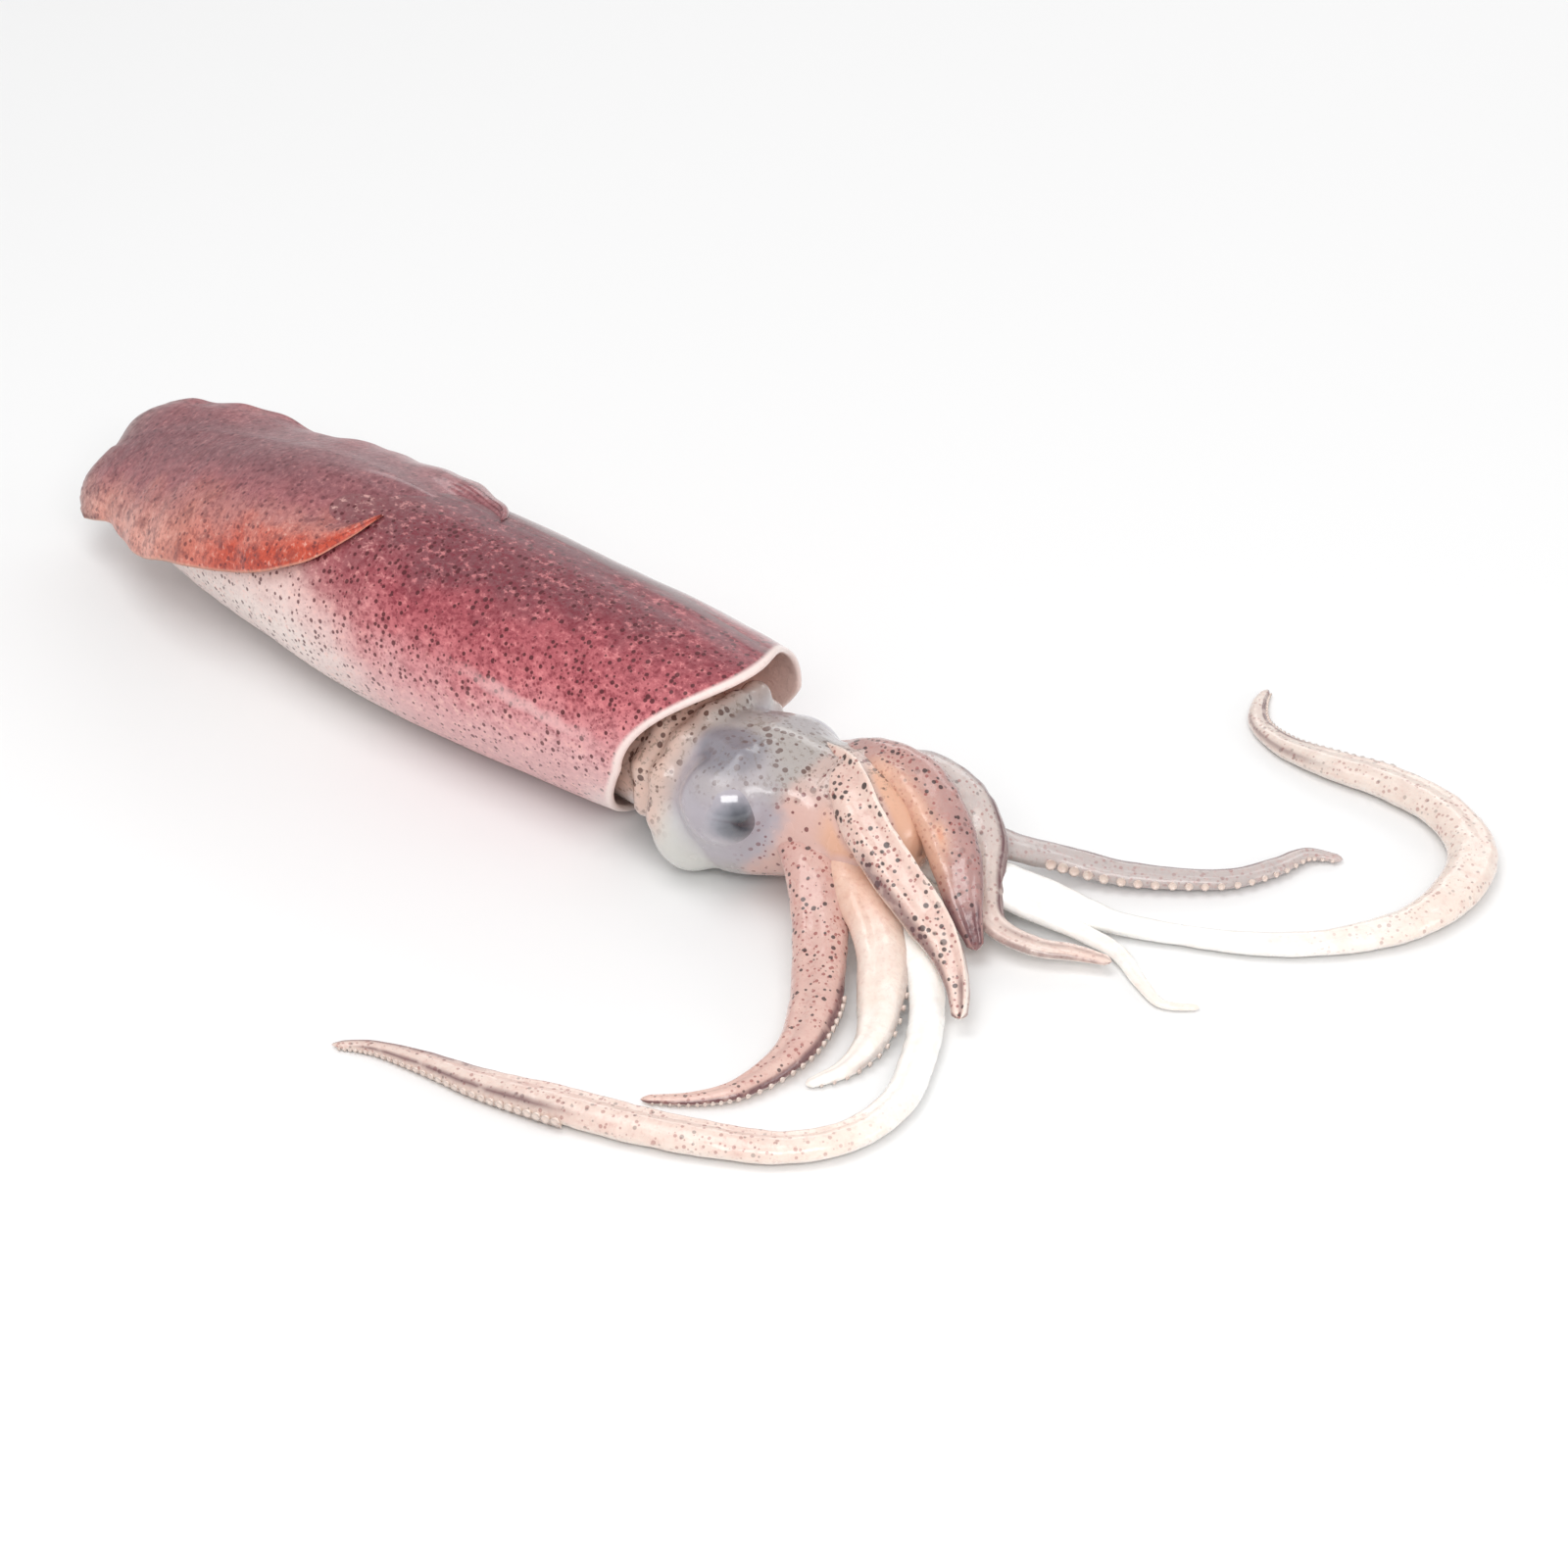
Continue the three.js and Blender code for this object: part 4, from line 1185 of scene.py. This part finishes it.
class SQUID_OT_eyes(bpy.types.Operator):
    """Make the two eyes"""

    bl_idname = "squid.eyes"
    bl_label = "Eyes"

    def execute(self, context):
        material = paint_eye(context.scene.squid_look)
        radius = context.scene.squid_shape.eye_radius / MM
        for name, (centre, gaze) in EYES.items():
            settle(eye_piece(name, centre, gaze, radius), material)
        return {"FINISHED"}


class SQUID_OT_limbs(bpy.types.Operator):
    """Make the eight arms and the two tentacles, with their suckers"""

    bl_idname = "squid.limbs"
    bl_label = "Arms and tentacles"

    def execute(self, context):
        material = paint_limb(context.scene.squid_look)
        for name, spec in ARMS.items():
            settle(limb_piece(name, spec, *ARM_GRID), material)
        for name, spec in TENTACLES.items():
            settle(limb_piece(name, spec, *TENTACLE_GRID), material)
        for limb in sorted({row[0] for row in SUCKER_ROWS}):
            rows = [row for row in SUCKER_ROWS if row[0] == limb]
            settle(suckers_piece("suckers_" + limb, rows), material)
        return {"FINISHED"}


class SQUID_OT_stage(bpy.types.Operator):
    """Make the floor, the lights and the camera"""

    bl_idname = "squid.stage"
    bl_label = "Stage"

    def execute(self, context):
        made = bmesh.new()
        bmesh.ops.create_grid(made, x_segments=8, y_segments=8, size=FLOOR_HALF_WIDTH)
        floor = finish_piece("floor", made)
        floor.data.materials.append(paint_floor())
        world = bpy.data.worlds.new("studio")
        world.use_nodes = True
        sky = world.node_tree.nodes["Background"]
        sky.inputs["Color"].default_value = (1.0, 1.0, 1.0, 1.0)
        sky.inputs["Strength"].default_value = context.scene.squid_look.room_light
        context.scene.world = world
        for name, spec in LAMPS.items():
            lamp(name, *spec)
        place_camera(context.scene)
        context.scene.view_settings.view_transform = "Standard"
        return {"FINISHED"}


def lamp(name, place, aim, power, width, height):
    light = bpy.data.lights.new(name, "AREA")
    light.shape = "RECTANGLE"
    light.size = width
    light.size_y = height
    light.energy = power
    holder = bpy.data.objects.new(name, light)
    holder.location = place
    holder.rotation_euler = (Vector(place) - Vector(aim)).to_track_quat("Z", "Y").to_euler()
    bpy.context.scene.collection.objects.link(holder)


def place_camera(scene):
    azimuth, elevation = math.radians(CAMERA_AZIMUTH), math.radians(CAMERA_ELEVATION)
    back = Vector(
        (
            math.sin(azimuth) * math.cos(elevation),
            -math.cos(azimuth) * math.cos(elevation),
            math.sin(elevation),
        )
    )
    camera = bpy.data.objects.new("camera", bpy.data.cameras.new("camera"))
    camera.location = (Vector(CAMERA_PIVOT) + back * CAMERA_DISTANCE) * MM
    camera.rotation_euler = (camera.location - Vector(CAMERA_AIM) * MM).to_track_quat("Z", "Y").to_euler()
    camera.data.lens = CAMERA_LENS
    camera.data.sensor_width = 36.0
    camera.data.clip_start = 0.01
    scene.collection.objects.link(camera)
    scene.camera = camera


STEPS = (SQUID_OT_mantle, SQUID_OT_fins, SQUID_OT_head, SQUID_OT_eyes, SQUID_OT_limbs, SQUID_OT_stage)


class SQUID_PT_panel(bpy.types.Panel):
    """The squid's sizes and the steps that build it"""

    bl_label = "Squid"
    bl_idname = "SQUID_PT_panel"
    bl_space_type = "VIEW_3D"
    bl_region_type = "UI"
    bl_category = "Squid"

    def draw(self, context):
        for group in (context.scene.squid_shape, context.scene.squid_look):
            for key in group.__annotations__:
                self.layout.prop(group, key)
        for step in STEPS:
            self.layout.operator(step.bl_idname)


CLASSES = (SquidShape, SquidLook, *STEPS, SQUID_PT_panel)


def register():
    for item in CLASSES:
        bpy.utils.register_class(item)
    bpy.types.Scene.squid_shape = bpy.props.PointerProperty(type=SquidShape)
    bpy.types.Scene.squid_look = bpy.props.PointerProperty(type=SquidLook)


def unregister():
    del bpy.types.Scene.squid_look
    del bpy.types.Scene.squid_shape
    for item in reversed(CLASSES):
        bpy.utils.unregister_class(item)


def main():
    register()
    bpy.ops.squid.mantle()
    bpy.ops.squid.fins()
    bpy.ops.squid.head()
    bpy.ops.squid.eyes()
    bpy.ops.squid.limbs()
    bpy.ops.squid.stage()


if __name__ == "__main__":
    main()
